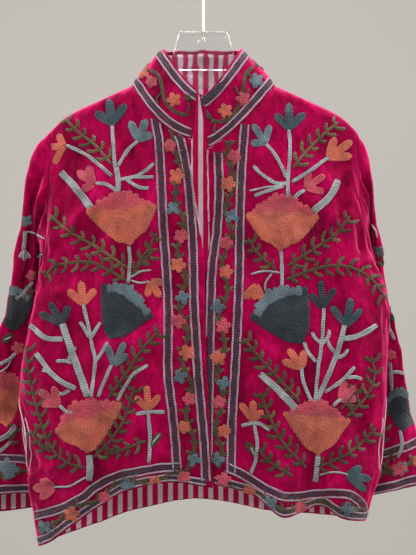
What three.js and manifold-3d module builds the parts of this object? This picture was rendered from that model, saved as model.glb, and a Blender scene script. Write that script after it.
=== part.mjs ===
// A hip-length suzani jacket of magenta velvet, lined with striped cotton, on a clear hanger.
// Millimetres. +Z is up, the front of the jacket faces -Y, and +X is the wearer's left.
// The origin is the underside of the hook's crown, where a rail carries the hanger.
import * as THREE from "three";
import { mergeVertices } from "three/addons/utils/BufferGeometryUtils.js";
import Module from "manifold-3d";

const wasm = await Module();
wasm.setup();

// Cloth thicknesses, the space left at seams, and the depths below the velvet's face of what lies inside
const VELVET = 1.6;
const COTTON = 0.9;
const SEAM = 0.3;
const LINING = { from: -2.2, to: -2.2 - COTTON };
const BAG = { from: -4.8, to: -4.8 - COTTON };
const HEM_INSET = 0.1; // share of the last row of a grid by which a lining stays inside its hem
const EDGE_INSET = 0.12; // the same for the column at a front edge
const CUFF_INSET = 0.06; // and for those at the underarm seam of a sleeve

// Neckline: a ring that is seen from above as two half ellipses, one in front and one behind
const NECK = { half: 100, front: 50, back: 42, z: -180.5, backDrop: 10 };
const NECK_FRONT = {
  right: { drop: 81.5, power: 2.2 },
  left: { drop: 95.5, power: 1.4 },
};

// Upper edge of the stand collar
const COLLAR = { front: 50, back: 38, z: -129, backRise: 5, bulge: 2.5 };
const COLLAR_TOP = {
  right: { half: 56, drop: 69, power: 1.5, endX: -6.3 },
  left: { half: 53, drop: 72, power: 1.3, endX: -5.4 },
};
const COLLAR_GAP = 0.006; // share of the collar's height that parts it from the neckline
const COLLAR_ROWS = 3;

// Shoulder seam from the neck point out to the tip
const SHOULDER = [
  { x: 100, z: -180.5 },
  { x: 125, z: -191.5 },
  { x: 150, z: -203 },
  { x: 175, z: -214.5 },
  { x: 195, z: -226 },
  { x: 213, z: -243 },
];
const TIP_X = 213;
const TIP_Z = -243;

// Edge of the armhole, from the shoulder tip (down 0) to the underarm (down 1).
// A turn is the angle round the section at which the panel ends, 90 at the side seam.
const ARMHOLE = {
  right: [
    { down: 0, front: 213, back: 213, frontTurn: 70, backTurn: 70 },
    { down: 0.25, front: 216, back: 206, frontTurn: 73, backTurn: 70 },
    { down: 0.5, front: 218, back: 203, frontTurn: 76, backTurn: 69 },
    { down: 0.75, front: 221, back: 209, frontTurn: 81, backTurn: 74 },
    { down: 1, front: 227, back: 227, frontTurn: 90, backTurn: 90 },
  ],
  left: [
    { down: 0, front: 213, back: 213, frontTurn: 70, backTurn: 70 },
    { down: 0.25, front: 221, back: 207, frontTurn: 73, backTurn: 70 },
    { down: 0.5, front: 226, back: 205, frontTurn: 76, backTurn: 69 },
    { down: 0.75, front: 231, back: 213, frontTurn: 81, backTurn: 74 },
    { down: 1, front: 240, back: 240, frontTurn: 90, backTurn: 90 },
  ],
};
const ARM_SHARE = 0.34; // share of the side's length that the armhole takes

// Half width to the side seam below the underarm
const SIDE = {
  right: [
    { z: -440, x: 227 },
    { z: -479, x: 236 },
    { z: -514, x: 243 },
    { z: -563, x: 253 },
    { z: -624, x: 258 },
    { z: -680, x: 254 },
    { z: -726, x: 244 },
    { z: -774, x: 239 },
    { z: -824, x: 231 },
  ],
  left: [
    { z: -428, x: 240 },
    { z: -459, x: 254 },
    { z: -494, x: 261 },
    { z: -550, x: 258 },
    { z: -610, x: 256 },
    { z: -673, x: 255 },
    { z: -722, x: 246 },
    { z: -754, x: 237 },
    { z: -788, x: 227 },
  ],
};

// How far the cloth stands in front of and behind the side seam, and where the seam lies
const DEPTH = [
  { z: -180, front: 36, back: 34, seam: 0 },
  { z: -243, front: 44, back: 38, seam: 0 },
  { z: -300, front: 48, back: 40, seam: 2 },
  { z: -348, front: 52, back: 42, seam: 4 },
  { z: -440, front: 55, back: 44, seam: 5 },
  { z: -563, front: 60, back: 48, seam: 0 },
  { z: -680, front: 62, back: 50, seam: 0 },
  { z: -824, front: 62, back: 52, seam: 0 },
];

// Front edges: x at each height. They part below the collar and lap over lower down.
const FRONT_EDGE = {
  right: [
    { z: -262, x: -15 },
    { z: -289, x: -19 },
    { z: -343, x: -9 },
    { z: -398, x: -2.2 },
    { z: -431, x: 1.4 },
    { z: -537, x: 3.6 },
    { z: -666, x: 9 },
    { z: -731, x: 13 },
  ],
  left: [
    { z: -276, x: 5 },
    { z: -292, x: 9 },
    { z: -353, x: 7 },
    { z: -398, x: 8.5 },
    { z: -431, x: 3.8 },
    { z: -480, x: 0 },
    { z: -537, x: -1 },
    { z: -731, x: -2 },
  ],
};
const LAP = { rise: 4, from: -385, to: -440, across: 0.35 };

// Hems: z at each x
const FRONT_HEM = {
  right: [
    { x: -231, z: -824 },
    { x: -205, z: -810 },
    { x: -183, z: -793 },
    { x: -143, z: -765 },
    { x: -97, z: -737 },
    { x: -42, z: -724 },
    { x: 13, z: -731 },
  ],
  left: [
    { x: -2, z: -727 },
    { x: 12, z: -727 },
    { x: 67, z: -745 },
    { x: 102, z: -771 },
    { x: 128, z: -770 },
    { x: 156, z: -762 },
    { x: 185, z: -777 },
    { x: 227, z: -788 },
  ],
};
const BACK_HEM = [
  { x: -231, z: -824 },
  { x: -173, z: -807 },
  { x: -143, z: -799 },
  { x: -84, z: -779 },
  { x: -20, z: -769 },
  { x: 45, z: -774 },
  { x: 120, z: -786 },
  { x: 227, z: -788 },
];

// Large folds: a ridge (rise above 0) or a trough that starts at height top and is full at height full,
// and whose line is at x there and moves across by lean for each millimetre down
const FOLDS = {
  frontRight: [
    { x: -186, top: -560, full: -780, lean: 0.02, width: 30, rise: 10 },
    { x: -128, top: -600, full: -740, lean: 0.05, width: 24, rise: -9 },
    { x: -70, top: -420, full: -700, lean: 0, width: 34, rise: 5 },
    { x: -150, top: -300, full: -460, lean: -0.1, width: 26, rise: -4 },
  ],
  frontLeft: [
    { x: 150, top: -640, full: -765, lean: -0.05, width: 25, rise: -20 },
    { x: 104, top: -560, full: -760, lean: 0.02, width: 26, rise: 11 },
    { x: 193, top: -600, full: -770, lean: 0.05, width: 20, rise: 9 },
    { x: 60, top: -420, full: -700, lean: 0, width: 30, rise: -5 },
    { x: 170, top: -300, full: -420, lean: 0.22, width: 22, rise: 5 },
  ],
  back: [
    { x: -150, top: -430, full: -760, lean: 0.05, width: 34, rise: 10 },
    { x: -85, top: -380, full: -740, lean: 0.02, width: 28, rise: -9 },
    { x: -10, top: -360, full: -740, lean: 0, width: 38, rise: 7 },
    { x: 70, top: -400, full: -750, lean: 0.03, width: 26, rise: -9 },
    { x: 140, top: -430, full: -770, lean: 0.04, width: 32, rise: 10 },
  ],
};
const FOLD_RUN_IN = 45; // the distance below a seam over which folds grow to their full size

// In-seam pockets: the front edge draws back from the seam in a lens
const POCKET = { top: -619, bottom: -716, open: { right: 15, left: 11 }, margin: 14 };

// Sleeves: the cuff's ring, and how the tube bows on its way there
const SLEEVE = {
  right: { x: 288, y: 58, z: -775, half: 75, depth: 28, lean: -5, tilt: 17, bow: 16 },
  left: { x: 250, y: 55, z: -762, half: 75, depth: 28, lean: 12, tilt: 6, bow: 9 },
};
const SLEEVE_GAP = 0.9; // between the armhole's edge and the sleeve
const SLEEVE_SPLIT = 0.0007; // half of the underarm seam's gap, as a share of the ring
const BEHIND = { front: 27, back: 9, by: 0.12, more: 12, moreBy: 0.3, until: 0.65 };
const FULLNESS = 15; // by which the back of a sleeve stands away from its front
const UNDERARM = { out: 12, by: 0.2, share: 0.12, faces: { x: -0.5, z: -0.85 } };
const SLEEVE_FOLDS = [
  { along: 0.2, width: 0.035, rise: -3.5, slant: 0.1 },
  { along: 0.34, width: 0.04, rise: 3, slant: -0.12 },
  { along: 0.47, width: 0.035, rise: -4, slant: 0.14 },
  { along: 0.62, width: 0.045, rise: 3, slant: -0.08 },
  { along: 0.78, width: 0.05, rise: -2.5, slant: 0.1 },
];
const SLEEVE_LINING_ROWS = 4; // the lining is built where the cuff shows it

// Grid of a body panel
const NECK_COLUMNS = 6;
const SHOULDER_COLUMNS = 9;
const COLUMNS = NECK_COLUMNS + SHOULDER_COLUMNS;
const NECK_SHARE = NECK_COLUMNS / COLUMNS;
const ARM_ROWS = 8;
const SIDE_ROWS = 12;
const SLEEVE_ROWS = 14;

// Hanger
const PLATE = { topHalf: 34.5, topZ: -104.8, bottomHalf: 48, bottomZ: -158, thick: 8, rim: 4, recess: 1.5 };
const ARM = { thick: 5, chamfer: 1.6, under: 5, end: 170, endHeight: 10 };
const HOOK = { wire: 2, radius: 22, stemTop: -62, seat: 14, clearance: 0.3, sides: 10, steps: 44 };

const rad = THREE.MathUtils.degToRad;
const clamp = THREE.MathUtils.clamp;
const mix = THREE.MathUtils.lerp;
const ease = (t) => {
  const s = clamp(t, 0, 1);
  return s * s * (3 - 2 * s);
};
const hand = (side) => (side === "left" ? 1 : -1);

// Smooth value of one column of a table at a place along its key column
function look(table, key, at, column) {
  const last = table.length - 1;
  const falling = table[last][key] < table[0][key];
  let i = 0;
  while (i < last - 1 && (falling ? at < table[i + 1][key] : at > table[i + 1][key])) i += 1;
  const slope = (j) => {
    const a = table[Math.max(j - 1, 0)];
    const b = table[Math.min(j + 1, last)];
    return (b[column] - a[column]) / (b[key] - a[key]);
  };
  const a = table[i];
  const b = table[i + 1];
  const h = b[key] - a[key];
  const t = clamp((at - a[key]) / h, 0, 1);
  return (
    a[column] * (1 + 2 * t) * (1 - t) ** 2 +
    b[column] * t * t * (3 - 2 * t) +
    slope(i) * h * t * (1 - t) ** 2 -
    slope(i + 1) * h * t * t * (1 - t)
  );
}

// Neckline point at an angle of 0 at the centre front, 90 at the neck point and 180 at the centre back
function neckPoint(side, angle) {
  const s = Math.sin(angle);
  const c = Math.cos(angle);
  const { drop, power } = NECK_FRONT[side];
  const z = c > 0 ? NECK.z - drop * (1 - Math.abs(s) ** power) : NECK.z - NECK.backDrop * c * c;
  return new THREE.Vector3(hand(side) * NECK.half * s, -c * (c > 0 ? NECK.front : NECK.back), z);
}

// Direction in which the neck seam faces, shared by the body and the collar
function neckNormal(side, angle) {
  const s = Math.sin(angle);
  return new THREE.Vector3(hand(side) * s, -Math.cos(angle), 0.15 + 0.6 * s * s).normalize();
}

// Angle round the neckline at which a front ends
const neckEnd = (side) => Math.asin((hand(side) * FRONT_EDGE[side][0].x) / NECK.half);

// Upper boundary of a panel: the neckline, then the shoulder seam
function topPoint(side, isFront, u) {
  if (u <= NECK_SHARE) {
    const end = isFront ? neckEnd(side) : Math.PI;
    return neckPoint(side, mix(end, Math.PI / 2, u / NECK_SHARE));
  }
  const x = mix(NECK.half, TIP_X, (u - NECK_SHARE) / (1 - NECK_SHARE));
  return new THREE.Vector3(hand(side) * x, 0, look(SHOULDER, "x", x, "z"));
}

// How wide the pocket stands open at a height, from 0 to 1
function pocketOpen(z) {
  const t = (POCKET.top - z) / (POCKET.top - POCKET.bottom);
  return t > 0 && t < 1 ? Math.sin(Math.PI * t) ** 0.7 : 0;
}

const sideHem = (side, isFront) => (isFront ? FRONT_HEM[side] : BACK_HEM).find((row) => row.x * hand(side) > 226).z;

// Where a panel ends at the side at height z: half width, and the turn round the section
function sideEdge(side, isFront, z, slit) {
  const level = (TIP_Z - z) / (TIP_Z - sideHem(side, isFront));
  if (level < ARM_SHARE - 1e-6) {
    const down = Math.max(level, 0) / ARM_SHARE;
    const which = isFront ? "front" : "back";
    return {
      x: look(ARMHOLE[side], "down", down, which),
      turn: rad(look(ARMHOLE[side], "down", down, which + "Turn")),
    };
  }
  const x = look(SIDE[side], "z", z, "x");
  const turn = rad(90 - (isFront && slit ? POCKET.open[side] * pocketOpen(z) : 0));
  return { x: x * Math.sin(turn), turn };
}

// Angle round the section at share u across a panel
function sectionAngle(side, isFront, u, z, edge) {
  if (!isFront) return edge.turn * u;
  const x = hand(side) * look(FRONT_EDGE[side], "z", z, "x");
  return mix(Math.asin((x / edge.x) * Math.sin(edge.turn)), edge.turn, u);
}

function foldsAt(folds, x, z) {
  let rise = 0;
  for (const fold of folds) {
    const grown = ease((fold.top - z) / (fold.top - fold.full));
    const off = (x - fold.x - fold.lean * (fold.top - z)) / fold.width;
    rise += fold.rise * grown * Math.exp(-off * off);
  }
  return rise;
}

// A point of the body's outer face: u runs from the centre to the side, v from the top to the hem
function bodyPoint(side, isFront, u, v, slit = true) {
  const top = topPoint(side, isFront, u);
  const hem = isFront ? FRONT_HEM[side] : BACK_HEM;
  const end = sideEdge(side, isFront, sideHem(side, isFront), slit);
  const endAngle = sectionAngle(side, isFront, u, -731, end);
  const hemX = (end.x * Math.sin(endAngle)) / Math.sin(end.turn);
  const z = mix(top.z, look(hem, "x", hand(side) * hemX, "z"), v);

  const edge = sideEdge(side, isFront, z, slit);
  const angle = sectionAngle(side, isFront, u, z, edge);
  const sectionX = (edge.x * Math.sin(angle)) / Math.sin(edge.turn);
  const x = mix(top.x, hand(side) * sectionX, ease(v / 0.3));

  const facing = isFront ? -1 : 1;
  const depth = look(DEPTH, "z", z, isFront ? "front" : "back") * Math.cos(angle);
  const sectionY = look(DEPTH, "z", z, "seam") + facing * depth;
  const below = top.z - z;
  const roll = 0.55 * ease((u - 0.6 * NECK_SHARE) / (0.4 * NECK_SHARE));
  const quick = Math.sqrt(1 - (1 - clamp(below / 14, 0, 1)) ** 2);
  const grown = roll * quick + (1 - roll) * ease(below / 160);
  let y = mix(top.y, sectionY, grown);

  const folds = FOLDS[isFront ? (side === "left" ? "frontLeft" : "frontRight") : "back"];
  y += facing * foldsAt(folds, x, z) * Math.cos(angle) * ease(below / FOLD_RUN_IN);
  if (isFront && side === "right") {
    const lapped = ease((LAP.from - z) / (LAP.from - LAP.to)) * (1 - ease(u / LAP.across));
    y -= LAP.rise * lapped;
  }
  const sewn = (below < SEAM && u >= NECK_SHARE) || (u === 1 && v >= ARM_SHARE);
  if (sewn) y += (facing * SEAM) / 2;
  return new THREE.Vector3(x, y, z);
}

// Normal of a surface by differences. The sign says which way round its two directions go.
function normalOf(surface, u, v, sign, step) {
  const across = surface(u + step, v).sub(surface(u - step, v));
  const down = surface(u, clamp(v + step, 0, 1)).sub(surface(u, clamp(v - step, 0, 1)));
  return across.cross(down).setLength(sign);
}

// Normal of the body's outer face. Pieces that meet at a seam share it there.
function bodyNormal(side, isFront, u, v, slit = true) {
  const h = hand(side);
  if (v === 0 && u >= NECK_SHARE) {
    const x = mix(NECK.half, TIP_X, (u - NECK_SHARE) / (1 - NECK_SHARE));
    const fall = (look(SHOULDER, "x", x - 4, "z") - look(SHOULDER, "x", x + 4, "z")) / 8;
    return new THREE.Vector3(h * fall, 0, 1).normalize();
  }
  if (v === 0) {
    const end = isFront ? neckEnd(side) : Math.PI;
    return neckNormal(side, mix(end, Math.PI / 2, u / NECK_SHARE));
  }
  const at = bodyPoint(side, isFront, u, v, slit);
  const surface = (a, b) => bodyPoint(side, isFront, clamp(a, 0, 1), b, slit);
  const normal = normalOf(surface, u, v, isFront ? -h : h, 0.004);
  const open = slit && isFront && pocketOpen(at.z) > 0;
  if (u === 1 && v >= ARM_SHARE && !open) normal.y = 0;
  if (u === 0 && !isFront) normal.x = 0;
  return normal.normalize();
}

// Rows of a body panel, with the underarm on one of them
const BODY_ROWS = [];
for (let i = 0; i < ARM_ROWS; i += 1) BODY_ROWS.push(ARM_SHARE * (i / ARM_ROWS) ** 1.25);
for (let i = 0; i <= SIDE_ROWS; i += 1) BODY_ROWS.push(mix(ARM_SHARE, 1, i / SIDE_ROWS));
const BODY_COLUMNS = Array.from({ length: COLUMNS + 1 }, (_, i) => i / COLUMNS);

// Armhole edge: from the underarm (0) up the front to the shoulder tip (0.5) and down the back to 1
function armhole(side, round) {
  const isFront = round < 0.5;
  const v = ARM_SHARE * (isFront ? 1 - 2 * round : 2 * round - 1);
  return { point: bodyPoint(side, isFront, 1, v), normal: bodyNormal(side, isFront, 1, v) };
}

function cuffPoint(side, round) {
  const cuff = SLEEVE[side];
  const turn = 2 * Math.PI * round;
  const out = -cuff.half * Math.cos(turn);
  const front = Math.sin(turn);
  const lean = rad(cuff.lean);
  return new THREE.Vector3(
    hand(side) * (cuff.x + out * Math.cos(lean)),
    cuff.y - cuff.depth * front,
    cuff.z + out * Math.sin(lean) + cuff.tilt * front,
  );
}

// A point of the sleeve's outer face: round the tube, and along it from the armhole to the cuff
function sleevePoint(side, round, along) {
  const h = hand(side);
  const start = armhole(side, round).point.add(new THREE.Vector3(h, 0, -0.8).setLength(SLEEVE_GAP));
  const point = start.lerp(cuffPoint(side, round), along);
  const outer = (1 - Math.cos(2 * Math.PI * round)) / 2;
  const cap = along / 0.1;
  point.x += h * SLEEVE[side].bow * cap * Math.exp(1 - cap) * outer;
  point.x += h * UNDERARM.out * Math.sin(Math.PI * clamp(along / UNDERARM.by, 0, 1)) * (1 - outer) ** 3;
  const left = 1 - ease((along - BEHIND.until) / (1 - BEHIND.until));
  const quick = mix(BEHIND.back, BEHIND.front, (1 + Math.sin(2 * Math.PI * round)) / 2);
  const back = quick * ease(along / BEHIND.by) + BEHIND.more * ease(along / BEHIND.moreBy);
  point.y += back * (1 - 0.7 * outer * outer) * left;
  point.y += FULLNESS * Math.max(-Math.sin(2 * Math.PI * round), 0) * Math.sin(Math.PI * along);
  return point;
}

function sleeveCentre(side, along) {
  const centre = new THREE.Vector3();
  for (const round of [0, 0.25, 0.5, 0.75]) centre.add(sleevePoint(side, round, along));
  return centre.divideScalar(4);
}

// The sleeve with its cross creases, which grow away from both ends
function creasedSleeve(side, round, along) {
  const point = sleevePoint(side, round, along);
  let rise = 0;
  for (const fold of SLEEVE_FOLDS) {
    const off = (along - fold.along - fold.slant * (round - 0.5)) / fold.width;
    rise += fold.rise * Math.exp(-off * off);
  }
  const out = point.clone().sub(sleeveCentre(side, along)).normalize();
  return point.addScaledVector(out, rise * ease(along / 0.15) * ease((1 - along) / 0.08));
}

function sleeveNormal(side, round, along) {
  const surface = (a, b) => creasedSleeve(side, a - Math.floor(a), b);
  const own = normalOf(surface, round, along, -hand(side), 0.02);
  if (along > 0) return own;
  const body = armhole(side, round).normal;
  const shared = ease((body.dot(own) + 0.1) / 0.4);
  const under = new THREE.Vector3(hand(side) * UNDERARM.faces.x, 0, UNDERARM.faces.z);
  body.multiplyScalar(shared).addScaledVector(own, 1 - shared);
  return body.lerp(under, ease(1 - Math.min(round, 1 - round) / UNDERARM.share)).normalize();
}

// A point of the collar: across from the right front end (-1) round the back to the left end (1), up from 0 to 1
function collarPoint(across, up) {
  const side = across < 0 ? "right" : "left";
  const share = Math.abs(across);
  const { half, drop, power, endX } = COLLAR_TOP[side];
  const top = mix(Math.PI, Math.asin((hand(side) * endX) / half), share);
  const s = Math.sin(top);
  const c = Math.cos(top);
  const z = c > 0 ? COLLAR.z - drop * (1 - Math.abs(s) ** power) : COLLAR.z + COLLAR.backRise * c * c;
  const rim = new THREE.Vector3(hand(side) * half * s, -c * (c > 0 ? COLLAR.front : COLLAR.back), z);
  const angle = collarAngle(across);
  const base = neckPoint(side, angle);
  const normal = neckNormal(side, angle);
  const point = base.lerp(rim, mix(COLLAR_GAP, 1, up));
  return point.addScaledVector(normal, COLLAR.bulge * Math.sin(Math.PI * up));
}

// Neckline angle below a place on the collar. The samples match the body's columns.
function collarAngle(across) {
  const side = across < 0 ? "right" : "left";
  const share = Math.abs(across);
  const end = neckEnd(side);
  return share < 0.5 ? mix(Math.PI, Math.PI / 2, share * 2) : mix(Math.PI / 2, end, share * 2 - 1);
}

function collarNormal(across, up) {
  const side = across < 0 ? "right" : "left";
  if (up === 0) return neckNormal(side, collarAngle(across));
  const share = (across + 1) / 2;
  return normalOf((a, b) => collarPoint(2 * clamp(a, 0, 1) - 1, b), share, up, -1, 0.005);
}

// Closed wall between two offsets of a grid of points with normals
function wall(grid, from, to) {
  const rows = grid.length;
  const columns = grid[0].length;
  const position = [];
  for (const offset of [from, to]) {
    for (const line of grid) {
      for (const { point, normal } of line) {
        position.push(...point.clone().addScaledVector(normal, offset).toArray());
      }
    }
  }
  const at = (layer, i, j) => (layer * rows + i) * columns + j;
  const index = [];
  const quad = (a, b, c, d) => index.push(a, b, c, a, c, d);
  for (let i = 0; i < rows - 1; i += 1) {
    for (let j = 0; j < columns - 1; j += 1) {
      quad(at(0, i, j), at(0, i, j + 1), at(0, i + 1, j + 1), at(0, i + 1, j));
      quad(at(1, i, j), at(1, i + 1, j), at(1, i + 1, j + 1), at(1, i, j + 1));
    }
  }
  for (let i = 0; i < rows - 1; i += 1) {
    quad(at(0, i, 0), at(0, i + 1, 0), at(1, i + 1, 0), at(1, i, 0));
    const j = columns - 1;
    quad(at(0, i, j), at(1, i, j), at(1, i + 1, j), at(0, i + 1, j));
  }
  for (let j = 0; j < columns - 1; j += 1) {
    quad(at(0, 0, j), at(1, 0, j), at(1, 0, j + 1), at(0, 0, j + 1));
    const i = rows - 1;
    quad(at(0, i, j), at(0, i, j + 1), at(1, i, j + 1), at(1, i, j));
  }
  return faceOutward(position, index);
}

// Signed volume decides which way round the faces go
function faceOutward(position, index) {
  const corner = (i) => new THREE.Vector3().fromArray(position, 3 * i);
  let volume = 0;
  for (let i = 0; i < index.length; i += 3) {
    volume += corner(index[i]).dot(corner(index[i + 1]).cross(corner(index[i + 2])));
  }
  if (volume < 0) {
    for (let i = 0; i < index.length; i += 3) [index[i + 1], index[i + 2]] = [index[i + 2], index[i + 1]];
  }
  const geometry = new THREE.BufferGeometry();
  geometry.setAttribute("position", new THREE.Float32BufferAttribute(position, 3));
  geometry.setIndex(index);
  geometry.computeVertexNormals();
  return geometry;
}

// Grids of points with normals
const between = (a, b, t) => ({
  point: a.point.clone().lerp(b.point, t),
  normal: a.normal.clone().lerp(b.normal, t).normalize(),
});

// A lining's grid: its piece's own, drawn in a little from the last row and from open front edges
function drawnIn(grid, first, last) {
  const rows = grid.map((line) => {
    const n = line.length - 1;
    const inner = line.slice(1, n);
    return [between(line[0], line[1], first), ...inner, between(line[n], line[n - 1], last)];
  });
  const n = rows.length - 1;
  rows[n] = rows[n].map((spot, j) => between(spot, rows[n - 1][j], HEM_INSET));
  return rows;
}

function frontGrid(side) {
  return BODY_ROWS.map((v) => BODY_COLUMNS.map((u) => {
    return { point: bodyPoint(side, true, u, v), normal: bodyNormal(side, true, u, v) };
  }));
}

function backGrid() {
  const spots = [...BODY_COLUMNS.slice(1).reverse().map((u) => ["right", u]), ...BODY_COLUMNS.map((u) => ["left", u])];
  return BODY_ROWS.map((v) => spots.map(([side, u]) => {
    return { point: bodyPoint(side, false, u, v), normal: bodyNormal(side, false, u, v) };
  }));
}

function sleeveGrid(side) {
  const rounds = [];
  for (let i = ARM_ROWS; i >= 0; i -= 1) rounds.push(0.5 - (0.5 * BODY_ROWS[i]) / ARM_SHARE);
  for (let i = 1; i <= ARM_ROWS; i += 1) rounds.push(0.5 + (0.5 * BODY_ROWS[i]) / ARM_SHARE);
  rounds[0] = SLEEVE_SPLIT;
  rounds[rounds.length - 1] = 1 - SLEEVE_SPLIT;
  const alongs = Array.from({ length: SLEEVE_ROWS + 1 }, (_, i) => (i / SLEEVE_ROWS) ** 1.15);
  return alongs.map((along) => rounds.map((round) => {
    return { point: creasedSleeve(side, round, along), normal: sleeveNormal(side, round, along) };
  }));
}

function collarGrid() {
  const half = Array.from({ length: 2 * NECK_COLUMNS + 1 }, (_, i) => i / (2 * NECK_COLUMNS));
  const acrosses = [...half.slice(1).reverse().map((share) => -share), ...half];
  const ups = Array.from({ length: COLLAR_ROWS + 1 }, (_, i) => i / COLLAR_ROWS);
  return ups.map((up) => acrosses.map((across) => {
    return { point: collarPoint(across, up), normal: collarNormal(across, up) };
  }));
}

// Pocket bag: a strip behind the slit, made from the points of both panels
function pocketGrid(side) {
  const spots = [[true, 0.8], [true, 0.85], [true, 0.9], [true, 0.95], [true, 1], [false, 0.95], [false, 0.9]];
  const shareAt = (z) => (z - TIP_Z) / (sideHem(side, true) - TIP_Z);
  const vs = Array.from({ length: 11 }, (_, i) => {
    return mix(shareAt(POCKET.top + POCKET.margin), shareAt(POCKET.bottom - POCKET.margin), i / 10);
  });
  return vs.map((v) => spots.map(([isFront, u]) => {
    return { point: bodyPoint(side, isFront, u, v, false), normal: bodyNormal(side, isFront, u, v, false) };
  }));
}

// Hanger: solids for joining and cutting
function solid(geometry) {
  const bare = geometry.clone();
  bare.deleteAttribute("normal");
  bare.deleteAttribute("uv");
  const merged = mergeVertices(bare, 1e-3);
  return new wasm.Manifold(new wasm.Mesh({
    numProp: 3,
    vertProperties: merged.attributes.position.array,
    triVerts: new Uint32Array(merged.index.array),
  }));
}

function fromSolid(made) {
  const mesh = made.getMesh();
  const geometry = new THREE.BufferGeometry();
  geometry.setAttribute("position", new THREE.Float32BufferAttribute(mesh.vertProperties, 3));
  geometry.setIndex(new THREE.BufferAttribute(mesh.triVerts, 1));
  geometry.computeVertexNormals();
  return geometry;
}

// An outline in x and z, extruded through y and centred on it
function slab(outline, thick, chamfer = 0) {
  const shape = new THREE.Shape(outline.map(([x, z]) => new THREE.Vector2(x, z)));
  const geometry = new THREE.ExtrudeGeometry(shape, {
    depth: thick - 2 * chamfer,
    bevelEnabled: chamfer > 0,
    bevelThickness: chamfer,
    bevelSize: chamfer,
    bevelOffset: -chamfer,
    bevelSegments: 1,
  });
  geometry.rotateX(Math.PI / 2);
  geometry.translate(0, thick / 2 - chamfer, 0);
  return geometry;
}

function armOutline() {
  const top = [[40, -142], [52, -156], [66, -167], [84, -177]];
  for (const x of [102, 120, 140, 158, ARM.end]) top.push([x, look(SHOULDER, "x", x, "z") - ARM.under]);
  const tip = top[top.length - 1];
  const bottom = [[tip[0] + 3, tip[1] - 5], [tip[0] - 2, tip[1] - ARM.endHeight]];
  bottom.push([140, -218], [110, -206], [80, -195], [40, -184]);
  const half = [...top, ...bottom];
  return [...half, ...half.map(([x, z]) => [-x, z]).reverse()];
}

function plateOutline(shrink) {
  const top = PLATE.topHalf - shrink;
  const bottom = PLATE.bottomHalf - shrink;
  const [high, low] = [PLATE.topZ - shrink, PLATE.bottomZ + shrink];
  return [[-top, high], [top, high], [bottom, low], [-bottom, low]];
}

function hangerGeometry() {
  const recess = slab(plateOutline(PLATE.rim), PLATE.recess);
  const reach = (PLATE.thick - PLATE.recess) / 2 + 0.01;
  const bore = new THREE.CylinderGeometry(
    HOOK.wire + HOOK.clearance, HOOK.wire + HOOK.clearance, HOOK.seat + 2, HOOK.sides,
  );
  bore.rotateX(Math.PI / 2);
  bore.translate(0, 0, PLATE.topZ - HOOK.seat / 2 + 1);
  const made = solid(slab(plateOutline(0), PLATE.thick, 1))
    .subtract(solid(recess.clone().translate(0, reach, 0)))
    .subtract(solid(recess.clone().translate(0, -reach, 0)))
    .add(solid(slab(armOutline(), ARM.thick, ARM.chamfer)))
    .subtract(solid(bore));
  return fromSolid(made);
}

// Hook: a wire that rises from the plate, bends aside and goes round over the top
class HookPath extends THREE.Curve {
  constructor() {
    super();
    const r = HOOK.radius;
    const arc = [];
    for (let degrees = -35; degrees <= 215; degrees += 25) {
      const a = rad(degrees);
      arc.push(new THREE.Vector3(r * Math.cos(a), 0, HOOK.wire - r + r * Math.sin(a)));
    }
    const start = new THREE.Vector3(0, 0, PLATE.topZ - HOOK.seat + HOOK.clearance);
    const stem = [start, new THREE.Vector3(0, 0, -90), new THREE.Vector3(0, 0, HOOK.stemTop)];
    stem.push(new THREE.Vector3(6, 0, HOOK.stemTop + 13));
    this.line = new THREE.CatmullRomCurve3([...stem, ...arc], false, "centripetal");
  }

  getPoint(t, target = new THREE.Vector3()) {
    return target.copy(this.line.getPointAt(t));
  }
}

function hookGeometry() {
  const section = new THREE.Shape();
  for (let i = 0; i < HOOK.sides; i += 1) {
    const a = (2 * Math.PI * i) / HOOK.sides;
    const spot = [HOOK.wire * Math.cos(a), HOOK.wire * Math.sin(a)];
    if (i === 0) section.moveTo(...spot);
    else section.lineTo(...spot);
  }
  section.closePath();
  return new THREE.ExtrudeGeometry(section, { steps: HOOK.steps, extrudePath: new HookPath() });
}

// Materials
const velvet = new THREE.MeshStandardMaterial({ color: 0xb4094d, roughness: 0.85, metalness: 0 });
const cotton = new THREE.MeshStandardMaterial({ color: 0xb46b80, roughness: 0.9, metalness: 0 });
const plastic = new THREE.MeshStandardMaterial({
  color: 0xe8eceb, roughness: 0.08, metalness: 0, transparent: true, opacity: 0.35,
});
const brass = new THREE.MeshStandardMaterial({ color: 0xc9bf9a, roughness: 0.3, metalness: 1 });

const jacket = new THREE.Group();

function piece(name, geometry, material) {
  const mesh = new THREE.Mesh(geometry, material);
  mesh.name = name;
  jacket.add(mesh);
}

const body = backGrid();
const neck = collarGrid();
piece("back", wall(body, 0, -VELVET), velvet);
piece("back_lining", wall(drawnIn(body, 0, 0), LINING.from, LINING.to), cotton);
piece("collar", wall(neck, 0, -VELVET), velvet);
piece("collar_lining", wall(drawnIn(neck, EDGE_INSET, EDGE_INSET), LINING.from, LINING.to), cotton);
for (const side of ["right", "left"]) {
  const front = frontGrid(side);
  const sleeve = sleeveGrid(side);
  const cuff = drawnIn(sleeve.slice(-SLEEVE_LINING_ROWS), CUFF_INSET, CUFF_INSET);
  piece(`front_${side}`, wall(front, 0, -VELVET), velvet);
  piece(`front_lining_${side}`, wall(drawnIn(front, EDGE_INSET, 0), LINING.from, LINING.to), cotton);
  piece(`sleeve_${side}`, wall(sleeve, 0, -VELVET), velvet);
  piece(`sleeve_lining_${side}`, wall(cuff, LINING.from, LINING.to), cotton);
  piece(`pocket_bag_${side}`, wall(pocketGrid(side), BAG.from, BAG.to), cotton);
}
piece("hanger", hangerGeometry(), plastic);
piece("hook", hookGeometry(), brass);

export default jacket;
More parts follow.
